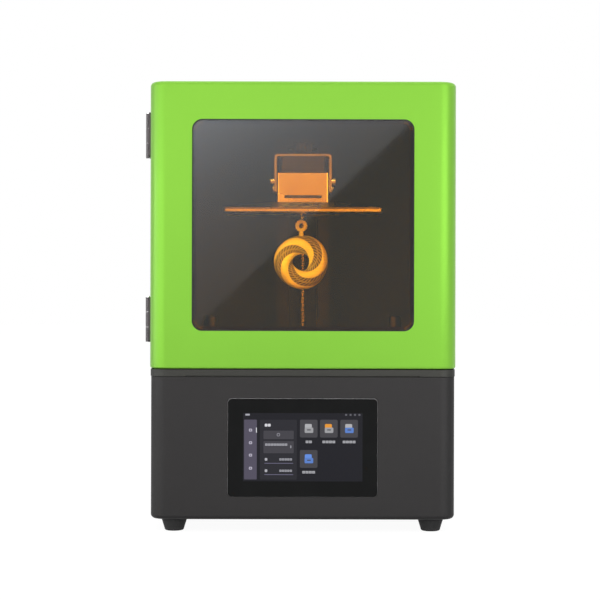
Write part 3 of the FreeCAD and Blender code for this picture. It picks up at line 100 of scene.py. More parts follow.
class PrinterSizes(bpy.types.PropertyGroup):
    """Sizes of the small pieces."""

    thread_pitch: length_prop("Thread pitch", "Crest to crest on the lead screw", 0.004)
    thread_starts: IntProperty(name="Thread starts", description="Starts of the lead screw",
                               default=2)
    thread_depth: length_prop("Thread depth", "Depth of the lead screw's thread", 0.0009)
    knurl_count: IntProperty(name="Knurls", description="Knurls round a vat knob", default=26)
    screw_head: length_prop("Screw head", "Radius of a cover screw's head", 0.0027)
    print_ring: length_prop("Print ring", "Radius of the sample print's ring", 0.0176)
    print_tube: length_prop("Print tube", "Radius of the sample print's tube", 0.0098)
    print_drop: length_prop("Print drop", "Ring's middle below the build plate", 0.0483)
    print_side: length_prop("Print side", "Print to the right of the plate's middle", -0.0016)
    eye_drop: length_prop("Eye drop", "Eye's middle below the build plate", 0.0121)


class PrinterStudio(bpy.types.PropertyGroup):
    """Camera and lamps."""

    distance: length_prop("Distance", "Camera to the front of the door", 1.5)
    eye_height: length_prop("Eye height", "Camera above the floor", 0.2161)
    eye_side: length_prop("Eye side", "Camera to the right of the middle", -0.0027)
    lens: FloatProperty(name="Lens", description="Focal length in millimetres", default=97.2)
    roll: FloatProperty(name="Roll", description="Camera roll", default=math.radians(-0.14),
                        subtype="ANGLE")
    sky: FloatProperty(name="Sky", description="Strength of the even light", default=0.42)


def settings():
    scene = bpy.context.scene
    return scene.printer_colours, scene.printer_sizes, scene.printer_studio


# Meshes worked out as whole arrays

def grid_faces(rows, columns, wrap_rows=False, wrap_columns=False):
    """Quads of a grid whose points are numbered row by row; a wrapped side joins its start."""
    r = np.arange(rows if wrap_rows else rows - 1)
    c = np.arange(columns if wrap_columns else columns - 1)
    r, c = (a.ravel() for a in np.meshgrid(r, c, indexing="ij"))
    r2, c2 = (r + 1) % rows, (c + 1) % columns
    return np.stack([r * columns + c, r * columns + c2, r2 * columns + c2, r2 * columns + c], 1)


def mesh_piece(name, points, faces, smooth=True, merge=1e-7):
    """A new object from arrays of points and quads, its poles closed by merging doubles."""
    places = np.asarray(points, float).reshape(-1, 3)
    mesh = bpy.data.meshes.new(name)
    mesh.from_pydata(places.tolist(), [], np.asarray(faces).tolist())
    work = bmesh.new()
    work.from_mesh(mesh)
    bmesh.ops.remove_doubles(work, verts=work.verts, dist=merge)
    bmesh.ops.dissolve_degenerate(work, edges=work.edges, dist=merge)
    bmesh.ops.recalc_face_normals(work, faces=work.faces)
    work.to_mesh(mesh)
    work.free()
    mesh.polygons.foreach_set("use_smooth", np.full(len(mesh.polygons), smooth))
    piece = bpy.data.objects.new(name, mesh)
    bpy.context.scene.collection.objects.link(piece)
    return piece


def turned(profile, steps, centre):
    """Points of a profile of (radius, height) carried round a Z axis: (r cos a, r sin a, h)."""
    profile = np.asarray(profile, float)
    angle = np.linspace(0, 2 * np.pi, steps, endpoint=False)
    r, h = profile[:, :1], profile[:, 1:]
    x, y = r * np.cos(angle), r * np.sin(angle)
    return np.stack([x, y, h + 0 * x], -1) + np.asarray(centre)


def joined(grids):
    """Points and faces of several grids of (points, wrap_rows, wrap_columns) as one mesh."""
    points, faces, start = [], [], 0
    for grid, wrap_rows, wrap_columns in grids:
        rows, columns = grid.shape[:2]
        points.append(grid.reshape(-1, 3))
        faces.append(grid_faces(rows, columns, wrap_rows, wrap_columns) + start)
        start += rows * columns
    return np.concatenate(points), np.concatenate(faces)


def add_piece(piece, body, finish, replaces=()):
    """Give a piece its finish, its body and the nodes that it stands for."""
    piece.data.materials.clear()
    piece.data.materials.append(finish)
    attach(piece, body)
    if replaces:
        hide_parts(*replaces)
    return piece


# Shader groups that several finishes share

def new_group(name, inputs, outputs):
    """An empty shader group with float or vector inputs and float outputs."""
    group = bpy.data.node_groups.new(name, "ShaderNodeTree")
    for label, kind, default in inputs:
        socket = group.interface.new_socket(label, in_out="INPUT", socket_type=kind)
        if default is not None:
            socket.default_value = default
    for label in outputs:
        group.interface.new_socket(label, in_out="OUTPUT", socket_type="NodeSocketFloat")
    return group, group.nodes.new("NodeGroupInput"), group.nodes.new("NodeGroupOutput")


def noise_in(group, vector, scale, detail=2.0, roughness=0.5):
    node = group.nodes.new("ShaderNodeTexNoise")
    node.inputs["Detail"].default_value = detail
    node.inputs["Roughness"].default_value = roughness
    group.links.new(vector, node.inputs["Vector"])
    if isinstance(scale, (int, float)):
        node.inputs["Scale"].default_value = scale
    else:
        group.links.new(scale, node.inputs["Scale"])
    return node.outputs["Fac"]


def spread_in(tree, source, low, high):
    """Stretch the middle of a noise to the range 0 to 1."""
    node = tree.nodes.new("ShaderNodeMapRange")
    node.inputs["From Min"].default_value = low
    node.inputs["From Max"].default_value = high
    tree.links.new(source, node.inputs["Value"])
    return node.outputs["Result"]


def orange_peel_group():
    """Powder coat: fine pimples over broad uneven flow."""
    group, source, result = new_group(
        "orange_peel",
        [("Vector", "NodeSocketVector", None), ("Pimple Scale", "NodeSocketFloat", 2200.0),
         ("Flow Scale", "NodeSocketFloat", 14.0)],
        ["Speckle", "Flow", "Height"])
    pimple = noise_in(group, source.outputs["Vector"], source.outputs["Pimple Scale"], 3.0, 0.6)
    flow = noise_in(group, source.outputs["Vector"], source.outputs["Flow Scale"], 2.0)
    group.links.new(spread_in(group, pimple, 0.35, 0.65), result.inputs["Speckle"])
    group.links.new(spread_in(group, flow, 0.3, 0.7), result.inputs["Flow"])
    group.links.new(pimple, result.inputs["Height"])
    return group


def brushed_group():
    """Machined metal: streaks drawn out along one axis over a faint cloud."""
    group, source, result = new_group(
        "brushed",
        [("Vector", "NodeSocketVector", None),
         ("Stretch", "NodeSocketVector", (40.0, 900.0, 900.0))],
        ["Streak", "Cloud", "Height"])
    scaled = group.nodes.new("ShaderNodeVectorMath")
    scaled.operation = "MULTIPLY"
    group.links.new(source.outputs["Vector"], scaled.inputs[0])
    group.links.new(source.outputs["Stretch"], scaled.inputs[1])
    streak = noise_in(group, scaled.outputs["Vector"], 1.0, 4.0, 0.6)
    cloud = noise_in(group, source.outputs["Vector"], 30.0, 2.0)
    group.links.new(spread_in(group, streak, 0.3, 0.7), result.inputs["Streak"])
    group.links.new(spread_in(group, cloud, 0.3, 0.7), result.inputs["Cloud"])
    group.links.new(streak, result.inputs["Height"])
    return group


def moulded_group():
    """Moulded plastic or rubber: spark-eroded grain and faint handling marks."""
    group, source, result = new_group(
        "moulded",
        [("Vector", "NodeSocketVector", None), ("Grain Scale", "NodeSocketFloat", 1500.0)],
        ["Grain", "Smudge", "Height"])
    grain = noise_in(group, source.outputs["Vector"], source.outputs["Grain Scale"], 2.0, 0.55)
    smudge = noise_in(group, source.outputs["Vector"], 45.0, 3.0)
    group.links.new(spread_in(group, grain, 0.35, 0.65), result.inputs["Grain"])
    group.links.new(spread_in(group, smudge, 0.35, 0.7), result.inputs["Smudge"])
    group.links.new(grain, result.inputs["Height"])
    return group


def shade_mask_group():
    """1 inside a box about a centre, the box where painted shade goes: the largest of
    |place - centre| / half size is under 1.
    """
    group, source, result = new_group(
        "shade_mask",
        [("Vector", "NodeSocketVector", None), ("Centre", "NodeSocketVector", (0.0, 0.0, 0.0)),
         ("Half Size", "NodeSocketVector", (1.0, 1.0, 1.0))],
        ["Inside"])
    value = source.outputs["Vector"]
    for operation, other in (("SUBTRACT", "Centre"), ("ABSOLUTE", None), ("DIVIDE", "Half Size")):
        step = group.nodes.new("ShaderNodeVectorMath")
        step.operation = operation
        group.links.new(value, step.inputs[0])
        if other:
            group.links.new(source.outputs[other], step.inputs[1])
        value = step.outputs["Vector"]
    split = group.nodes.new("ShaderNodeSeparateXYZ")
    group.links.new(value, split.inputs[0])
    value = split.outputs["X"]
    for axis in ("Y", "Z"):
        larger = group.nodes.new("ShaderNodeMath")
        larger.operation = "MAXIMUM"
        group.links.new(value, larger.inputs[0])
        group.links.new(split.outputs[axis], larger.inputs[1])
        value = larger.outputs[0]
    inside = group.nodes.new("ShaderNodeMath")
    inside.operation = "LESS_THAN"
    inside.inputs[1].default_value = 1.0
    group.links.new(value, inside.inputs[0])
    group.links.new(inside.outputs[0], result.inputs["Inside"])
    return group


GROUPS = {}


def shared_group(name):
    makers = {"orange_peel": orange_peel_group, "brushed": brushed_group, "moulded": moulded_group,
              "shade_mask": shade_mask_group}
    if name not in GROUPS:
        GROUPS[name] = makers[name]()
    return GROUPS[name]


# Finishes

class Finish:
    """A material under construction, with its Principled shader and Object coordinates."""

    def __init__(self, name, metallic=0.0, roughness=0.5, gloss=0.5):
        self.material = bpy.data.materials.new(name)
        self.material.use_nodes = True
        self.tree = self.material.node_tree
        self.shader = self.tree.nodes["Principled BSDF"]
        self.place = self.tree.nodes.new("ShaderNodeTexCoord").outputs["Object"]
        self.shader.inputs["Metallic"].default_value = metallic
        self.shader.inputs["Roughness"].default_value = roughness
        self.shader.inputs["Specular IOR Level"].default_value = gloss

    def group(self, name, **values):
        node = self.tree.nodes.new("ShaderNodeGroup")
        node.node_tree = shared_group(name)
        self.tree.links.new(self.place, node.inputs["Vector"])
        for label, number in values.items():
            node.inputs[label.replace("_", " ")].default_value = number
        return node.outputs

    def mix(self, mask):
        """A colour mix by a mask, linked to Base Color; gives its two colour inputs."""
        node = self.tree.nodes.new("ShaderNodeMix")
        node.data_type = "RGBA"
        self.tree.links.new(mask, node.inputs[0])
        base = self.shader.inputs["Base Color"]
        under = base.links[0].from_socket if base.links else None
        if under:
            self.tree.links.new(under, node.inputs[6])
        self.tree.links.new(node.outputs[2], base)
        return node.inputs[6], node.inputs[7]

    def colour(self, mask, low, high):
        """Mix two colours by a mask into Base Color."""
        first, second = self.mix(mask)
        first.default_value, second.default_value = (*low, 1.0), (*high, 1.0)

    def paint_shade(self, mask, colour):
        """Mix a darker colour over Base Color where a mask is 1: painted shade."""
        self.mix(mask)[1].default_value = (*colour, 1.0)

    def roughness(self, mask, low, high):
        node = self.tree.nodes.new("ShaderNodeMapRange")
        node.inputs["To Min"].default_value = low
        node.inputs["To Max"].default_value = high
        self.tree.links.new(mask, node.inputs["Value"])
        self.tree.links.new(node.outputs["Result"], self.shader.inputs["Roughness"])

    def bump(self, height, strength, distance):
        node = self.tree.nodes.new("ShaderNodeBump")
        node.inputs["Strength"].default_value = strength
        node.inputs["Distance"].default_value = distance
        self.tree.links.new(height, node.inputs["Height"])
        self.tree.links.new(node.outputs["Normal"], self.shader.inputs["Normal"])


def shaded(colour, factor):
    return tuple(min(1.0, channel * factor) for channel in colour)


def powder_coat(name, colour, roughness, contrast, pimple_scale, depth, gloss):
    """Baked powder paint: speckled colour, broken gloss and a pimpled skin."""
    finish = Finish(name, gloss=gloss)
    grain = finish.group("orange_peel", Pimple_Scale=pimple_scale)
    finish.colour(grain["Speckle"], shaded(colour, 1 - contrast), shaded(colour, 1 + contrast))
    finish.roughness(grain["Flow"], roughness - 0.02, roughness + 0.02)
    finish.bump(grain["Height"], 0.35, depth)
    finish.shader.inputs["Specular Tint"].default_value = (*shaded(colour, 1 / max(colour)), 1.0)
    return finish.material


def machined(name, colour, roughness, stretch, metallic=1.0, painted_shade_box=None, left=0.16):
    """Bare or anodised metal with drawn-out tool marks; inside a box, painted shade keeps only a
    share of its colour.
    """
    finish = Finish(name, metallic=metallic, gloss=0.3)
    marks = finish.group("brushed", Stretch=stretch)
    finish.colour(marks["Streak"], shaded(colour, 0.9), shaded(colour, 1.06))
    finish.roughness(marks["Cloud"], roughness - 0.07, roughness + 0.07)
    finish.bump(marks["Height"], 0.12, 0.0001)
    if painted_shade_box:
        centre, half = painted_shade_box
        inside = finish.group("shade_mask", Centre=tuple(centre), Half_Size=tuple(half))
        # Painted shade: inside the box the colour keeps only the share given by left.
        finish.paint_shade(inside["Inside"], shaded(colour, left))
    return finish.material


def head_slot_shade_box():
    """Centre and half size of the slot across the front of the head block, which painted shade
    darkens.
    """
    low, high = (np.array(corner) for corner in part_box("head_block"))
    half = np.array([0.0187, 0.0048, 0.0017])
    from_front, from_foot = 0.0052, 0.0056
    return np.array([(low[0] + high[0]) / 2, low[1] + from_front, low[2] + from_foot]), half


def plate_shade_box():
    """Centre and half size of the build plate above the bright band milled round its foot: painted
    shade darkens this body and its top.
    """
    low, high = (np.array(corner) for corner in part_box("build_plate"))
    band, margin = 0.0024, np.array([0.0002, 0.0002, 0.0001])
    low[2] += band
    return (low + high) / 2, (high - low) / 2 + margin


def moulded(name, colour, roughness, grain_scale=1500.0, depth=0.00012):
    """Plastic or rubber with a fine moulded grain."""
    finish = Finish(name, gloss=0.25)
    grain = finish.group("moulded", Grain_Scale=grain_scale)
    finish.colour(grain["Smudge"], shaded(colour, 0.85), shaded(colour, 1.2))
    finish.roughness(grain["Grain"], roughness - 0.06, roughness + 0.08)
    finish.bump(grain["Height"], 0.3, depth)
    return finish.material


def clear_sheet(name, tint, roughness, ior=1.44, sheen=(1.0, 1.0, 1.0)):
    """Clear or tinted sheet that lets lamps through; faint smears break its gloss."""
    finish = Finish(name)
    smears = finish.group("moulded", Grain_Scale=260.0)
    finish.roughness(smears["Smudge"], roughness, roughness + 0.03)
    shader = finish.shader
    shader.inputs["Base Color"].default_value = (*tint, 1.0)
    shader.inputs["Transmission Weight"].default_value = 1.0
    shader.inputs["IOR"].default_value = ior
    shader.inputs["Specular Tint"].default_value = (*sheen, 1.0)
    tree = finish.tree
    through = tree.nodes.new("ShaderNodeBsdfTransparent")
    through.inputs["Color"].default_value = (*(math.sqrt(channel) for channel in tint), 1.0)
    mix = tree.nodes.new("ShaderNodeMixShader")
    path = tree.nodes.new("ShaderNodeLightPath")
    tree.links.new(path.outputs["Is Shadow Ray"], mix.inputs["Fac"])
    tree.links.new(shader.outputs["BSDF"], mix.inputs[1])
    tree.links.new(through.outputs["BSDF"], mix.inputs[2])
    tree.links.new(mix.outputs["Shader"], tree.nodes["Material Output"].inputs["Surface"])
    return finish.material


def black_glass(name):
    """Back-printed black cover glass."""
    finish = Finish(name, gloss=0.12)
    grain = finish.group("moulded", Grain_Scale=400.0)
    finish.colour(grain["Smudge"], (0.0035, 0.0038, 0.004), (0.0055, 0.0058, 0.006))
    finish.roughness(grain["Smudge"], 0.05, 0.13)
    return finish.material


def lit_picture(name):
    """Display picture: each tile glows in the colour that its points carry."""
    finish = Finish(name, roughness=0.3, gloss=0.1)
    tint = finish.tree.nodes.new("ShaderNodeAttribute")
    tint.attribute_name = "tint"
    finish.tree.links.new(tint.outputs["Color"], finish.shader.inputs["Emission Color"])
    finish.shader.inputs["Emission Strength"].default_value = 1.0
    finish.shader.inputs["Base Color"].default_value = (0.006, 0.006, 0.007, 1.0)
    return finish.material


def solder_mask(name):
    """Circuit board lacquer with copper areas showing through."""
    finish = Finish(name)
    grain = finish.group("brushed", Stretch=(400.0, 60.0, 200.0))
    finish.colour(grain["Streak"], (0.012, 0.07, 0.03), (0.025, 0.14, 0.06))
    finish.roughness(grain["Cloud"], 0.3, 0.45)
    return finish.material


def cured_resin(name, colour):
    """Cured resin: faint layer lines across Z, a waxy gloss, and painted shade in the pits of a
    lattice.
    """
    finish = Finish(name, roughness=0.35)
    layers = finish.group("brushed", Stretch=(20.0, 20.0, 2600.0))
    finish.colour(layers["Streak"], shaded(colour, 0.82), shaded(colour, 1.1))
    # Painted shade in the lattice and its pits, read from the points' attribute.
    pit_and_shade = finish.tree.nodes.new("ShaderNodeAttribute")
    pit_and_shade.attribute_name = "pit_and_shade"
    finish.paint_shade(pit_and_shade.outputs["Fac"], shaded(colour, 0.03))
    finish.roughness(layers["Cloud"], 0.28, 0.42)
    finish.bump(layers["Height"], 0.4, 0.0001)
    finish.shader.inputs["Subsurface Weight"].default_value = 0.15
    finish.shader.inputs["Subsurface Radius"].default_value = (0.004, 0.002, 0.0005)
    finish.shader.inputs["Subsurface Scale"].default_value = 1.0
    return finish.material


FINISHES = {}


def make_finishes():
    colours = settings()[0]
    metal = tuple(colours.metal)
    across, upright = (60.0, 900.0, 900.0), (900.0, 900.0, 60.0)
    FINISHES.update({
        "door": powder_coat("green_powder_coat", colours.door, 0.34, 0.03, 1500.0, 0.00006, 0.5),
        "cabinet": powder_coat("charcoal_powder_coat", colours.cabinet, 0.54, 0.3, 1900.0, 0.0002,
                               0.15),
        "deck": powder_coat("deck_powder_coat", colours.deck, 0.5, 0.25, 1900.0, 0.00018, 0.16),
        "acrylic": clear_sheet("amber_acrylic", colours.acrylic, 0.02, sheen=(0.64, 0.82, 1.0)),
        "clear": clear_sheet("clear_film", (0.97, 0.98, 0.99), 0.03),
        "screen": black_glass("black_cover_glass"),
        "picture": lit_picture("display_picture"),
        "rubber": moulded("black_rubber", (0.012, 0.012, 0.0125), 0.72, 900.0, 0.0002),
        "plastic": moulded("black_plastic", (0.02, 0.02, 0.021), 0.45),
        "hinge": powder_coat("black_hinge_paint", (0.028, 0.026, 0.027), 0.42, 0.12, 2000.0, 0.0001,
                             0.4),
        "anodised": machined("black_anodising", (0.02, 0.02, 0.022), 0.4, (900.0, 900.0, 70.0),
                             metallic=0.0),
        "aluminium": machined("anodised_aluminium", shaded(metal, 0.4), 0.46, across),
        # Painted shade darkens the inside of the head block's slot.
        "head": machined("milled_aluminium", metal, 0.22, across, painted_shade_box=head_slot_shade_box()),
        "screw": machined("rolled_steel", (0.92, 0.92, 0.93), 0.24, (300.0, 300.0, 900.0)),
        # Painted shade darkens the build plate above its foot band.
        "blasted": machined("blasted_aluminium", shaded(metal, 0.9), 0.27, (700.0, 700.0, 700.0),
                            painted_shade_box=plate_shade_box(), left=0.3),
        "blackened": machined("blackened_steel", (0.034, 0.033, 0.034), 0.36, upright),
        "bent": machined("bent_steel", (0.34, 0.33, 0.33), 0.36, (200.0, 200.0, 600.0)),
        "steel": machined("ground_steel", (0.6, 0.6, 0.61), 0.28, upright),
        "zinc": machined("zinc_plate", (0.55, 0.56, 0.58), 0.38, (300.0, 300.0, 300.0)),
        "brass": machined("machined_brass", (0.78, 0.56, 0.22), 0.3, (500.0, 500.0, 90.0)),
        "circuit": solder_mask("solder_mask"),
        "resin": cured_resin("cured_resin", colours.resin),
    })


NODE_FINISH = {
    "door": ["door_frame"],
    "cabinet": ["base_shell", "bottom_plate", "cabinet_wrap", "cabinet_top", "front_frame"],
    "deck": ["deck_plate"],
    "acrylic": ["door_window"],
    "clear": ["release_film", "collimating_lens"],
    "screen": ["display_glass", "mask_lcd"],
    "rubber": ["rubber_feet", "door_gasket", "window_seal"],
    "plastic": ["window_retainer", "light_shroud", "dc_inlet", "switch_body", "power_rocker",
                "fan_frame", "fan_rotor", "limit_sensor", "clamp_knob"],
    "hinge": ["hinge_cabinet_leaf_upper", "hinge_cabinet_leaf_lower", "hinge_door_leaf_upper",
              "hinge_door_leaf_lower", "z_motor"],
    "aluminium": ["heatsink", "resin_vat", "film_clamp"],
    "head": ["head_block"],
    "anodised": ["z_column", "carriage_plate", "top_bearing", "lift_arm"],
    "blasted": ["build_plate"],
    "blackened": ["rail_left", "rail_right", "rail_blocks"],
    "bent": ["yoke"],
    "steel": ["hinge_pins", "levelling_screws"],
    "zinc": ["magnet_catches", "display_module", "usb_port"],
    "brass": ["board_standoffs", "lead_nut"],
    "circuit": ["led_board", "main_board"],
}
SMOOTH_ANGLE = math.radians(32)


def dress_node(node, finish):
    """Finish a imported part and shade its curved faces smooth, with its sharp edges kept."""
    part = NODES[node]
    part.data.materials.clear()
    part.data.materials.append(finish)
    part.data.polygons.foreach_set("use_smooth", np.ones(len(part.data.polygons), bool))
    weld = part.modifiers.new("weld", "WELD")
    weld.merge_threshold = 2e-6
    split = part.modifiers.new("sharp_edges", "EDGE_SPLIT")
    split.split_angle = SMOOTH_ANGLE


class PRINTER_OT_parts(bpy.types.Operator):
    """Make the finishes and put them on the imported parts"""

    bl_idname = "printer.parts"
    bl_label = "Finish the parts"

    def execute(self, context):
        make_finishes()
        for finish, nodes in NODE_FINISH.items():
            for node in nodes:
                dress_node(node, FINISHES[finish])
        return {"FINISHED"}


class PRINTER_OT_lead_screw(bpy.types.Operator):
    """Cut the trapezoidal thread on the lead screw"""

    bl_idname = "printer.lead_screw"
    bl_label = "Lead screw thread"

    def execute(self, context):
        """Radius is the rod's less a depth times a clipped wave of (height - lead turn) / pitch."""
        sizes = settings()[1]
        low, high = (np.array(corner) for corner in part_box("lead_screw"))
        outer, middle = (high[0] - low[0]) / 2, (low + high) / 2
        lead = sizes.thread_pitch * sizes.thread_starts
        rows_to_pitch, steps = 8, 24
        rows = int((high[2] - low[2]) / sizes.thread_pitch * rows_to_pitch)
        height = np.linspace(low[2], high[2], rows)[:, None]
        angle = np.linspace(0, 2 * np.pi, steps, endpoint=False)[None, :]
        wave = np.sin(2 * np.pi * (height - lead * angle / (2 * np.pi)) / sizes.thread_pitch)
        radius = outer - sizes.thread_depth * np.clip(0.5 + 0.9 * wave, 0, 1)
        rod = np.stack([radius * np.cos(angle), radius * np.sin(angle), height + 0 * angle], -1)
        ends = [np.array([[[0, 0, z]] * angle.size]) for z in (low[2], high[2])]
        points = np.concatenate([ends[0], rod, ends[1]]) + np.array([middle[0], middle[1], 0])
        piece = mesh_piece("lead_screw_thread", *joined([(points, False, True)]))
        add_piece(piece, "lead_screw", FINISHES["screw"], ["lead_screw"])
        return {"FINISHED"}


KNURL_DEPTH = 0.00045
EDGE_EASE = 0.0008
CROWN_DEPTH = 0.0006
SHANK_RADIUS = 0.0023


class PRINTER_OT_vat_knobs(bpy.types.Operator):
    """Knurl the two thumb screws that hold the vat"""

    bl_idname = "printer.vat_knobs"
    bl_label = "Vat knobs"

    def execute(self, context):
        """Radius falls by a diamond wave of angle and height between a rounded foot and crown."""
        sizes = settings()[1]
        for side in ("left", "right"):
            node = f"vat_knob_{side}"
            low, high = (np.array(corner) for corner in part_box(node))
            middle, outer = (low + high) / 2, (high[0] - low[0]) / 2 + 0.0001
            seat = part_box("resin_vat")[1][2] + 0.0002
            steps, rows = sizes.knurl_count * 4, 22
            angle = np.linspace(0, 2 * np.pi, steps, endpoint=False)[None, :]
            share = np.linspace(0, 1, rows)[:, None]
            turn = sizes.knurl_count * angle
            climb = 2 * np.pi * 4 * share
            diamond = np.abs(np.sin((turn + climb) / 2)) * np.abs(np.sin((turn - climb) / 2))
            band = np.clip(np.minimum(share - 0.08, 0.86 - share) * 40, 0, 1)
            easing = EDGE_EASE * np.clip(np.abs(share - 0.5) - 0.42, 0, 1) / 0.08
            radius = outer - KNURL_DEPTH * band * (1 - diamond) - easing
            height = seat + (high[2] - seat) * share
            grip = np.stack([radius * np.cos(angle), radius * np.sin(angle), height + 0 * angle],
                            -1)
            dish = high[2] - CROWN_DEPTH
            crown = turned([(outer * 0.72, high[2] - 0.0001), (outer * 0.66, dish), (0, dish)],
                           steps, (0, 0, 0))
            foot = turned([(0, low[2]), (SHANK_RADIUS, low[2]), (SHANK_RADIUS, seat)], steps,
                          (0, 0, 0))
            points = np.concatenate([foot, grip, crown]) + np.array([middle[0], middle[1], 0])
            piece = mesh_piece(f"knurled_{node}", *joined([(points, False, True)]))
            add_piece(piece, node, FINISHES["blackened"], [node])
        return {"FINISHED"}


def swirl(u, v):
    """Share of the tube's radius, and the painted shade of its lattice, at angles u round the ring
    and
    v round the tube: three smooth ridges where cos(3(u - v) + 210 degrees) is high wind from the
    rim to the hole, and between them two rows of pits follow cos(20(u + v))."""
    ridge = np.cos(3 * (u - v) + math.radians(210))
    lattice = np.clip((0.22 - ridge) / 0.25, 0, 1)
    rib = np.clip((-ridge - 0.93) / 0.06, 0, 1)
    pit_and_shade = lattice * (1 - 0.8 * rib) * np.clip(0.6 + 1.3 * np.cos(20 * (u + v)), 0, 1)
    share = 0.93 + 0.07 * np.clip(ridge, 0, 1) - 0.02 * lattice - 0.08 * pit_and_shade
    return share, 0.62 * lattice + 0.38 * pit_and_shade


class PRINTER_OT_sample_print(bpy.types.Operator):
    """Model the twisted ring that hangs from the build plate"""

    bl_idname = "printer.sample_print"
    bl_label = "Sample print"

    def execute(self, context):
        """Tube of radius r swirl(u, v) about a ring, with an eye, a stem and a strut above it."""
        sizes = settings()[1]
        low, high = (np.array(corner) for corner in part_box("build_plate"))
        root = np.array([(low[0] + high[0]) / 2 + sizes.print_side, (low[1] + high[1]) / 2, low[2]])
        centre = root - (0, 0, sizes.print_drop)
        u = np.linspace(0, 2 * np.pi, 400, endpoint=False)[:, None]
        v = np.linspace(0, 2 * np.pi, 150, endpoint=False)[None, :]
        radius = sizes.print_tube * swirl(u, v)[0]
        out = sizes.print_ring + radius * np.cos(v)
        torus = np.stack([out * np.cos(u), radius * np.sin(v), out * np.sin(u)], -1)
        u = np.linspace(0, 2 * np.pi, 64, endpoint=False)[:, None]
        v = np.linspace(0, 2 * np.pi, 24, endpoint=False)[None, :]
        eye_ring, eye_tube = 0.0042, 0.0018
        radius = eye_tube * (1 + 0.16 * np.cos(14 * u + 2 * v))
        out = eye_ring + radius * np.cos(v)
        eye = np.stack([out * np.cos(u), radius * np.sin(v), out * np.sin(u)], -1)
        grids = [(torus + centre, True, True), (eye + root - (0, 0, sizes.eye_drop), True, True)]
        stem = turned([(0, -0.031), (0.0026, -0.031), (0.002, -0.0185), (0.0024, -0.0165),
                       (0, -0.0165)], 20, root)
        strut = turned([(0, -0.0077), (0.0004, -0.0077), (0.00025, -0.003), (0.0005, -0.0009),
                        (0.0012, -0.0005), (0.0012, 0), (0, 0)], 16, root)
        grids += [(stem, False, True), (strut, False, True)]
        piece = mesh_piece("printed_ring", *joined(grids))
        self.paint_pit_shade(piece.data, centre, sizes)
        add_piece(piece, "lift", FINISHES["resin"], ["sample_print"])
        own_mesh(piece)
        return {"FINISHED"}

    def paint_pit_shade(self, mesh, centre, sizes):
        """Keep the lattice's painted shade at each point, its angles u and v read back from its
        place.
        """
        points = np.empty(len(mesh.vertices) * 3, np.float32)
        mesh.vertices.foreach_get("co", points)
        x, y, z = (points.reshape(-1, 3) - centre).T
        out = np.hypot(x, z)
        on_ring = out < sizes.print_ring + 1.1 * sizes.print_tube
        v = np.arctan2(y, out - sizes.print_ring)
        # Painted shade of the lattice and its pits, kept as a point attribute.
        pit_and_shade = swirl(np.arctan2(z, x), v)[1] * on_ring
        depth = mesh.attributes.new("pit_and_shade", "FLOAT", "POINT")
        depth.data.foreach_set("value", pit_and_shade.astype(np.float32))


# Display picture

RIM_STEPS = 32
TILE_LIFT = 0.00004
TILE_STEP = 0.00002
TILE_SINK = 0.00005


def tile_rim(x, z, width, height, radius):
    """Outline of a rounded tile about a centre: a circle whose quarters move to the corners."""
    angle = (np.arange(RIM_STEPS) + 0.5) * 2 * np.pi / RIM_STEPS
    rim_x = np.sign(np.cos(angle)) * (width / 2 - radius) + radius * np.cos(angle)
    rim_z = np.sign(np.sin(angle)) * (height / 2 - radius) + radius * np.sin(angle)
    return np.stack([x + rim_x, z + rim_z], -1)


def tile_slab(rim, front, back, start):
    """Points and outward faces of a rim carried from a front to a back, numbered from a start."""
    points = [(x, y, z) for y in (front, back) for x, z in rim.tolist()]
    ring = start + np.arange(RIM_STEPS)
    after = np.roll(ring, -1)
    walls = np.stack([after, ring, ring + RIM_STEPS, after + RIM_STEPS], 1).tolist()
    return points, [ring.tolist(), (ring[::-1] + RIM_STEPS).tolist(), *walls]


def block_row(x, z, count, pitch, height, layer, colour):
    """A label's place: a row of like blocks about a centre, each with a darker bar across it."""
    tiles = []
    for place in x + pitch * (np.arange(count) - (count - 1) / 2):
        tiles.append((place, z, pitch * 0.86, height, 0.3, layer, colour))
        tiles.append((place, z, pitch * 0.5, height * 0.24, 0.1, layer + 1, shaded(colour, 0.35)))
    return tiles


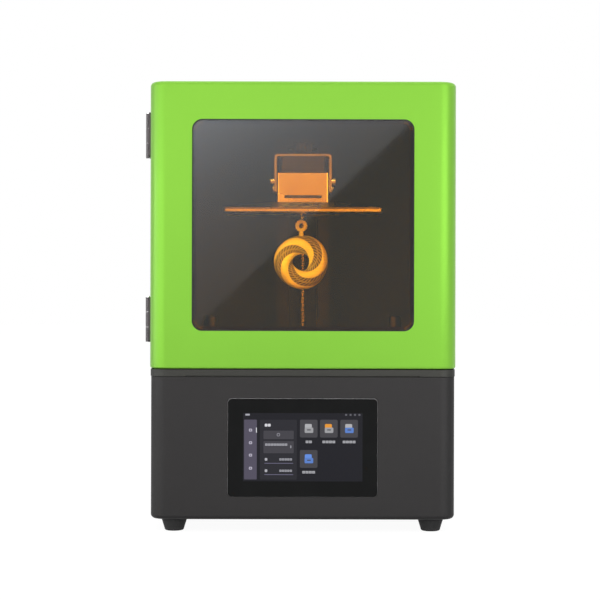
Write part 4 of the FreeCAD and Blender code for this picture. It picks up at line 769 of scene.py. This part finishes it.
class PRINTER_OT_display(bpy.types.Operator):
    """Lay out a plain menu on the touch display"""

    bl_idname = "printer.display"
    bl_label = "Display picture"

    def execute(self, context):
        """Tiles of (x, z, width, height, radius, layer, colour), millimetres from the middle."""
        low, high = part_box("display_glass")
        x0, z0 = (low[0] + high[0]) / 2 + 0.0002, (low[2] + high[2]) / 2 + 0.0005
        tiles = [(0, 0, 110.7, 63.2, 0.4, 0, (0.0055, 0.0055, 0.0095)),
                 (-48.5, -2.2, 11.8, 55.4, 0.8, 1, (0.08, 0.071, 0.106)),
                 (-22.6, -2.3, 34.2, 55.4, 1.0, 1, (0.017, 0.0168, 0.0225)),
                 (-22.4, 11.4, 28.0, 7.8, 0.8, 2, (0.05, 0.048, 0.058)),
                 (-22.4, 0.0, 28.0, 11.2, 0.8, 2, (0.05, 0.048, 0.058)),
                 (-43.0, 15.8, 0.7, 4.8, 0.3, 2, (0.75, 0.75, 0.8)),
                 (-51.2, 30.1, 4.2, 1.6, 0.5, 1, (0.4, 0.4, 0.45)),
                 (-34.0, 20.4, 2.6, 2.6, 0.7, 2, (0.66, 0.66, 0.7)),
                 (-31.1, 20.4, 2.6, 2.6, 0.7, 2, (0.66, 0.66, 0.7)),
                 (-22.6, 11.6, 3.0, 3.0, 1.4, 3, (0.3, 0.3, 0.34)),
                 (-22.6, 11.6, 2.0, 2.0, 0.9, 4, (0.05, 0.048, 0.058)),
                 (-11.1, 0.4, 1.0, 2.6, 0.4, 3, (0.3, 0.3, 0.34))]
        tiles += block_row(-24.6, 2.4, 8, 2.6, 2.0, 3, (0.38, 0.38, 0.42))
        for z in (15.8, 4.1, -7.4, -19.5):
            tiles.append((-48.4, z, 3.0, 2.6, 0.8, 2, (0.45, 0.43, 0.52)))
            tiles.append((-48.4, z, 1.2, 1.1, 0.4, 3, (0.12, 0.1, 0.15)))
        for z in (-11.3, -21.8):
            tiles.append((-34.0, z, 2.4, 2.6, 0.8, 2, (0.42, 0.42, 0.46)))
            tiles += block_row(-15.8, z, 5, 2.4, 2.0, 2, (0.33, 0.33, 0.37))
            tiles.append((-22.2, z - 3.6, 26.6, 0.5, 0.2, 2, (0.16, 0.15, 0.24)))
        grey, orange, blue = (0.42, 0.42, 0.44), (0.78, 0.3, 0.03), (0.12, 0.26, 0.72)
        icons = ((5.5, 17.3, 2, grey, grey), (24.1, 17.3, 4, orange, grey),
                 (42.9, 17.3, 4, grey, blue), (5.5, -10.8, 4, blue, blue))
        for x, z, label, upper, lower in icons:
            tiles.append((x, z, 16.3, 16.5, 1.4, 1, (0.052, 0.05, 0.058)))
            tiles.append((x - 0.4, z + 1.9, 6.4, 4.8, 1.0, 2, upper))
            tiles.append((x + 0.2, z - 1.5, 8.0, 5.0, 1.0, 3, shaded(lower, 0.8)))
            tiles.append((x + 0.2, z - 1.2, 3.6, 1.0, 0.4, 4, (0.06, 0.06, 0.07)))
            tiles += block_row(x, z - 12.3, label, 3.05, 2.3, 1, (0.4, 0.4, 0.43))
        for column in range(4):
            tiles.append((40.1 + 4.1 * column, 30.1, 1.9, 1.7, 0.6, 1, (0.12, 0.12, 0.14)))
        points, faces, tints = [], [], []
        for x, z, width, height, radius, layer, colour in tiles:
            rim = tile_rim(x0 + x / 1000, z0 + z / 1000, width / 1000, height / 1000, radius / 1000)
            front = low[1] - TILE_LIFT - TILE_STEP * layer
            slab_points, slab_faces = tile_slab(rim, front, low[1] + TILE_SINK, len(points))
            points += slab_points
            faces += slab_faces
            tints += [(*colour, 1.0)] * len(slab_points)
        mesh = bpy.data.meshes.new("display_picture")
        mesh.from_pydata(points, [], faces)
        tint = mesh.color_attributes.new("tint", "FLOAT_COLOR", "POINT")
        tint.data.foreach_set("color", np.array(tints, np.float32).ravel())
        piece = bpy.data.objects.new("display_picture", mesh)
        context.scene.collection.objects.link(piece)
        add_piece(piece, "cabinet", FINISHES["picture"])
        return {"FINISHED"}


# Cover screws

def screw_head(radius, place, outward):
    """A domed head with a cross recess: height is a dome less a dip along the cross."""
    angle = np.linspace(0, 2 * np.pi, 32, endpoint=False)[None, :]
    share = np.array([0.0, 0.12, 0.3, 0.45, 0.6, 0.8, 1.0, 1.0, 0.0])[:, None]
    arm = np.where(share > 0, np.exp(-(np.sin(2 * angle) / 0.35) ** 2), 1.0) * (share < 0.56)
    dome = 0.42 * radius * np.sqrt(np.clip(1 - 0.9 * share ** 2, 0, 1)) + 0.1 * radius
    height = dome - 0.3 * radius * arm - 0.12 * radius * (share < 0.2)
    height[-2:] = 0
    flat = np.stack([share * radius * np.cos(angle), share * radius * np.sin(angle), height], -1)
    out = np.asarray(outward, float)
    side = np.array([0, 0, 1.0]) if abs(out[2]) < 0.5 else np.array([1.0, 0, 0])
    other = np.cross(out, side)
    return np.asarray(place) + flat @ np.stack([side, other, out])


class PRINTER_OT_screws(bpy.types.Operator):
    """Put screws in the hinges, the hood and the base"""

    bl_idname = "printer.screws"
    bl_label = "Cover screws"

    def execute(self, context):
        """Rows of screws on flat walls, each seated on the face that carries it."""
        radius = settings()[1].screw_head
        heads = {"cabinet": [], "door": []}
        for level in ("upper", "lower"):
            for body, node in (("cabinet", "cabinet_leaf"), ("door", "door_leaf")):
                low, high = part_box(f"hinge_{node}_{level}")
                reach = (low[1] + 0.0052) if body == "door" else (high[1] - 0.0085)
                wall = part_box("cabinet_wrap")[0][0] - 0.002
                for share in (0.22, 0.78):
                    z = low[2] + (high[2] - low[2]) * share
                    heads[body].append(((wall, reach, z), (-1, 0, 0)))
        wrap_low, wrap_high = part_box("cabinet_wrap")
        base_low, base_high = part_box("base_shell")
        fan_low, fan_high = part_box("fan_frame")
        outer, inner, fan_inset = 0.118, 0.04, 0.005
        rows = (((-outer, -inner, inner, outer), wrap_high[1],
                 (wrap_low[2] + 0.008, wrap_high[2] - 0.008)),
                ((-outer, outer), base_high[1], (base_low[2] + 0.012, base_high[2] - 0.01)),
                ((fan_low[0] + fan_inset, fan_high[0] - fan_inset), base_high[1],
                 (fan_low[2] + fan_inset, fan_high[2] - fan_inset)))
        for columns, wall, levels in rows:
            for x in columns:
                heads["cabinet"] += [((x, wall, z), (0, 1, 0)) for z in levels]
        for body, places in heads.items():
            grids = [(screw_head(radius, place, outward), False, True) for place, outward in places]
            piece = mesh_piece(f"cover_screws_{body}", *joined(grids))
            add_piece(piece, body, FINISHES["hinge"])
        return {"FINISHED"}


class PRINTER_OT_contacts(bpy.types.Operator):
    """Add the contact pin of the power inlet and the tongue of the data socket"""

    bl_idname = "printer.contacts"
    bl_label = "Socket contacts"

    def execute(self, context):
        """A round-nosed pin on the inlet's axis, and a flat tongue under the socket's roof."""
        low, high = (np.array(corner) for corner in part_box("dc_inlet"))
        x, z = (low[0] + high[0]) / 2, (low[2] + high[2]) / 2
        back, tip = high[1] - 0.0095, high[1] - 0.0015
        nose = turned([(0, back), (0.00105, back), (0.00105, tip - 0.0006), (0.0007, tip - 0.0001),
                       (0, tip)], 20, (0, 0, 0))
        pin = np.stack([x + nose[..., 0], nose[..., 2], z + nose[..., 1]], -1)
        piece = mesh_piece("inlet_pin", *joined([(pin, False, True)]))
        add_piece(piece, "cabinet", FINISHES["brass"])
        low, high = (np.array(corner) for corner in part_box("usb_port"))
        middle = (low + high) / 2
        level = middle[2] + 0.0011
        outline = tile_rim(middle[1], level, 0.0108, 0.0018, 0.0004)
        depth = np.array([high[0] - 0.0135, high[0] - 0.0022])
        walls = np.stack([np.stack([np.full(RIM_STEPS, d), *outline.T], -1) for d in depth])
        centres = [np.tile([[[d, middle[1], level]]], (1, RIM_STEPS, 1)) for d in depth]
        tongue = np.concatenate([centres[0], walls, centres[1]])
        piece = mesh_piece("socket_tongue", *joined([(tongue, False, True)]), smooth=False)
        add_piece(piece, "cabinet", FINISHES["plastic"])
        return {"FINISHED"}


# Studio

def area_lamp(name, place, target, size, power, colour=(1, 1, 1), spin=0.0):
    """A soft box aimed at a point; spin turns it about its own axis."""
    data = bpy.data.lights.new(name, "AREA")
    data.shape = "RECTANGLE"
    data.size, data.size_y = size
    data.energy = power
    data.color = colour
    lamp = bpy.data.objects.new(name, data)
    aim = np.asarray(target, float) - np.asarray(place, float)
    turn = Vector(aim).to_track_quat("-Z", "Y").to_matrix().to_4x4()
    lamp.matrix_world = Matrix.Translation(place) @ turn @ Matrix.Rotation(spin, 4, "Z")
    lamp.visible_camera = False
    bpy.context.scene.collection.objects.link(lamp)
    return lamp


def seen_rays(tree):
    """1 for camera, glossy and transmission rays, which see the white background."""
    path = tree.nodes.new("ShaderNodeLightPath")
    total = None
    for label in ("Is Camera Ray", "Is Glossy Ray", "Is Transmission Ray"):
        if total is None:
            total = path.outputs[label]
            continue
        node = tree.nodes.new("ShaderNodeMath")
        node.operation = "MAXIMUM"
        tree.links.new(total, node.inputs[0])
        tree.links.new(path.outputs[label], node.inputs[1])
        total = node.outputs[0]
    return total


CARD_STEPS = 40
CARD_BEHIND = 0.36


class PRINTER_OT_stage(bpy.types.Operator):
    """Set the floor, the lamps, the background and the camera"""

    bl_idname = "printer.stage"
    bl_label = "Studio"

    def execute(self, context):
        studio = settings()[2]
        scene = context.scene
        scene.view_settings.view_transform = "Standard"
        self.background(scene, studio)
        self.floor(scene)
        self.lamps()
        self.reflected_card(CAD_BOX[0][1], studio)
        self.camera(scene, studio)
        return {"FINISHED"}

    def background(self, scene, studio):
        """White where it is seen, and an even sky for light."""
        world = bpy.data.worlds.new("studio_white")
        world.use_nodes = True
        tree = world.node_tree
        sky = tree.nodes["Background"]
        sky.inputs["Color"].default_value = (1, 1, 1, 1)
        sky.inputs["Strength"].default_value = studio.sky
        seen = tree.nodes.new("ShaderNodeBackground")
        seen.inputs["Color"].default_value = (1, 1, 1, 1)
        seen.inputs["Strength"].default_value = 1.0
        mix = tree.nodes.new("ShaderNodeMixShader")
        tree.links.new(seen_rays(tree), mix.inputs["Fac"])
        tree.links.new(sky.outputs[0], mix.inputs[1])
        tree.links.new(seen.outputs[0], mix.inputs[2])
        tree.links.new(mix.outputs[0], tree.nodes["World Output"].inputs["Surface"])
        scene.world = world

    def floor(self, scene):
        """A wide sheet, nearly white, that keeps a soft shadow."""
        reach = 12.0
        share = np.linspace(-reach, reach, 3)
        x, y = np.meshgrid(share, share, indexing="ij")
        floor = mesh_piece("floor", *joined([(np.stack([x, y, 0 * x - 0.0002], -1), False, False)]),
                           smooth=False)
        material = bpy.data.materials.new("floor_white")
        material.use_nodes = True
        tree = material.node_tree
        shader = tree.nodes["Principled BSDF"]
        shader.inputs["Base Color"].default_value = (0.62, 0.62, 0.62, 1)
        shader.inputs["Roughness"].default_value = 0.9
        shade = tree.nodes.new("ShaderNodeBsdfDiffuse")
        shade.inputs["Color"].default_value = (0.14, 0.14, 0.14, 1)
        glow = tree.nodes.new("ShaderNodeEmission")
        glow.inputs["Strength"].default_value = 0.95
        both = tree.nodes.new("ShaderNodeAddShader")
        tree.links.new(shade.outputs[0], both.inputs[0])
        tree.links.new(glow.outputs[0], both.inputs[1])
        mix = tree.nodes.new("ShaderNodeMixShader")
        tree.links.new(seen_rays(tree), mix.inputs["Fac"])
        tree.links.new(shader.outputs[0], mix.inputs[1])
        tree.links.new(both.outputs[0], mix.inputs[2])
        tree.links.new(mix.outputs[0], tree.nodes["Material Output"].inputs["Surface"])
        floor.data.materials.append(material)

    def lamps(self):
        """Two front boxes, one overhead, two panels that only gloss shows, two chamber lamps."""
        middle = (0.0, -0.1, 0.24)
        area_lamp("front_left", (-1.45, -2.1, 1.3), middle, (1.7, 1.6), 19)
        area_lamp("front_right", (1.45, -2.1, 1.3), middle, (1.7, 1.6), 19)
        area_lamp("overhead", (0.0, 0.1, 2.0), (0, 0, 0.3), (1.4, 1.4), 9)
        for name, place, width, power in (("left_panel", (-1.62, -1.05, 0.2), 3.0, 68),
                                          ("right_panel", (1.04, -1.45, 0.2), 1.4, 40)):
            edge = (math.copysign(0.14, place[0]), -0.12, 0.2)
            panel = area_lamp(name, place, edge, (width, 1.0), power)
            panel.visible_diffuse = False
        for name, place, target, size, power, spread in (
                ("hood_lamp", (0.0, -0.1, 0.402), (0, -0.03, 0.325), (0.1, 0.012), 0.008, 50),
                ("print_lamp", (-0.06, -0.108, 0.284), (0, -0.02, 0.256), (0.03, 0.03), 0.0062,
                 34)):
            lamp = area_lamp(name, place, target, size, power)
            lamp.data.spread = math.radians(spread)

    def reflected_card(self, front, studio):
        """A card behind the camera that the window mirrors; its glow fades down and rightwards."""
        low, high = (np.array(corner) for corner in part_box("door_window"))
        back = front - studio.distance - CARD_BEHIND
        reach = (front - studio.distance - back + 2 * studio.distance) / studio.distance
        eye = np.array([studio.eye_side, studio.eye_height])
        across, share_z = np.meshgrid(np.linspace(0, 1, CARD_STEPS),
                                      np.linspace(-0.5, 1.5, CARD_STEPS), indexing="ij")
        share_x = -0.5 + (share_z + 0.5) * across
        x = low[0] + (high[0] - low[0]) * share_x
        z = low[2] + (high[2] - low[2]) * share_z
        points = np.stack([eye[0] + (x - eye[0]) * reach, np.full_like(x, back),
                           eye[1] + (z - eye[1]) * reach], -1)
        glow = 1.25 + 6.0 * np.exp((share_z - 1) / 0.43 - np.clip(share_x, 0, 1) / 0.8)
        card = bpy.data.meshes.new("reflected_card")
        faces = grid_faces(CARD_STEPS, CARD_STEPS)
        card.from_pydata(points.reshape(-1, 3).tolist(), [], faces.tolist())
        level = card.attributes.new("glow", "FLOAT", "POINT")
        level.data.foreach_set("value", glow.astype(np.float32).ravel())
        material = bpy.data.materials.new("reflected_card")
        material.use_nodes = True
        tree = material.node_tree
        tree.nodes.remove(tree.nodes["Principled BSDF"])
        source = tree.nodes.new("ShaderNodeAttribute")
        source.attribute_name = "glow"
        light = tree.nodes.new("ShaderNodeEmission")
        light.inputs["Color"].default_value = (1.0, 0.87, 0.82, 1)
        tree.links.new(source.outputs["Fac"], light.inputs["Strength"])
        tree.links.new(light.outputs[0], tree.nodes["Material Output"].inputs["Surface"])
        card.materials.append(material)
        piece = bpy.data.objects.new("reflected_card", card)
        bpy.context.scene.collection.objects.link(piece)
        piece.visible_camera = False
        piece.visible_diffuse = False
        piece.visible_transmission = False
        piece.visible_shadow = False

    def camera(self, scene, studio):
        front = CAD_BOX[0][1]
        data = bpy.data.cameras.new("front_camera")
        data.lens = studio.lens
        data.sensor_width = 36.0
        data.clip_end = 60.0
        camera = bpy.data.objects.new("front_camera", data)
        camera.location = (studio.eye_side, front - studio.distance, studio.eye_height)
        camera.rotation_euler = (math.pi / 2, studio.roll, 0)
        scene.collection.objects.link(camera)
        scene.camera = camera


class PRINTER_PT_panel(bpy.types.Panel):
    """Buttons for each step, and the colours, sizes and studio settings"""

    bl_idname = "PRINTER_PT_panel"
    bl_label = "Resin printer"
    bl_space_type = "VIEW_3D"
    bl_region_type = "UI"
    bl_category = "Printer"

    def draw(self, context):
        for step in STEPS:
            self.layout.operator(step.bl_idname)
        for group in settings():
            box = self.layout.box()
            for name in group.__annotations__:
                box.prop(group, name)


STEPS = (PRINTER_OT_parts, PRINTER_OT_lead_screw, PRINTER_OT_vat_knobs, PRINTER_OT_sample_print,
         PRINTER_OT_display, PRINTER_OT_screws, PRINTER_OT_contacts, PRINTER_OT_stage)
CLASSES = (PrinterColours, PrinterSizes, PrinterStudio, *STEPS, PRINTER_PT_panel)


def register():
    for cls in CLASSES:
        bpy.utils.register_class(cls)
    bpy.types.Scene.printer_colours = PointerProperty(type=PrinterColours)
    bpy.types.Scene.printer_sizes = PointerProperty(type=PrinterSizes)
    bpy.types.Scene.printer_studio = PointerProperty(type=PrinterStudio)


def unregister():
    for name in ("printer_colours", "printer_sizes", "printer_studio"):
        delattr(bpy.types.Scene, name)
    for cls in reversed(CLASSES):
        bpy.utils.unregister_class(cls)


def main():
    register()
    for step in STEPS:
        group, name = step.bl_idname.split(".")
        getattr(getattr(bpy.ops, group), name)()


if __name__ == "__main__":
    main()
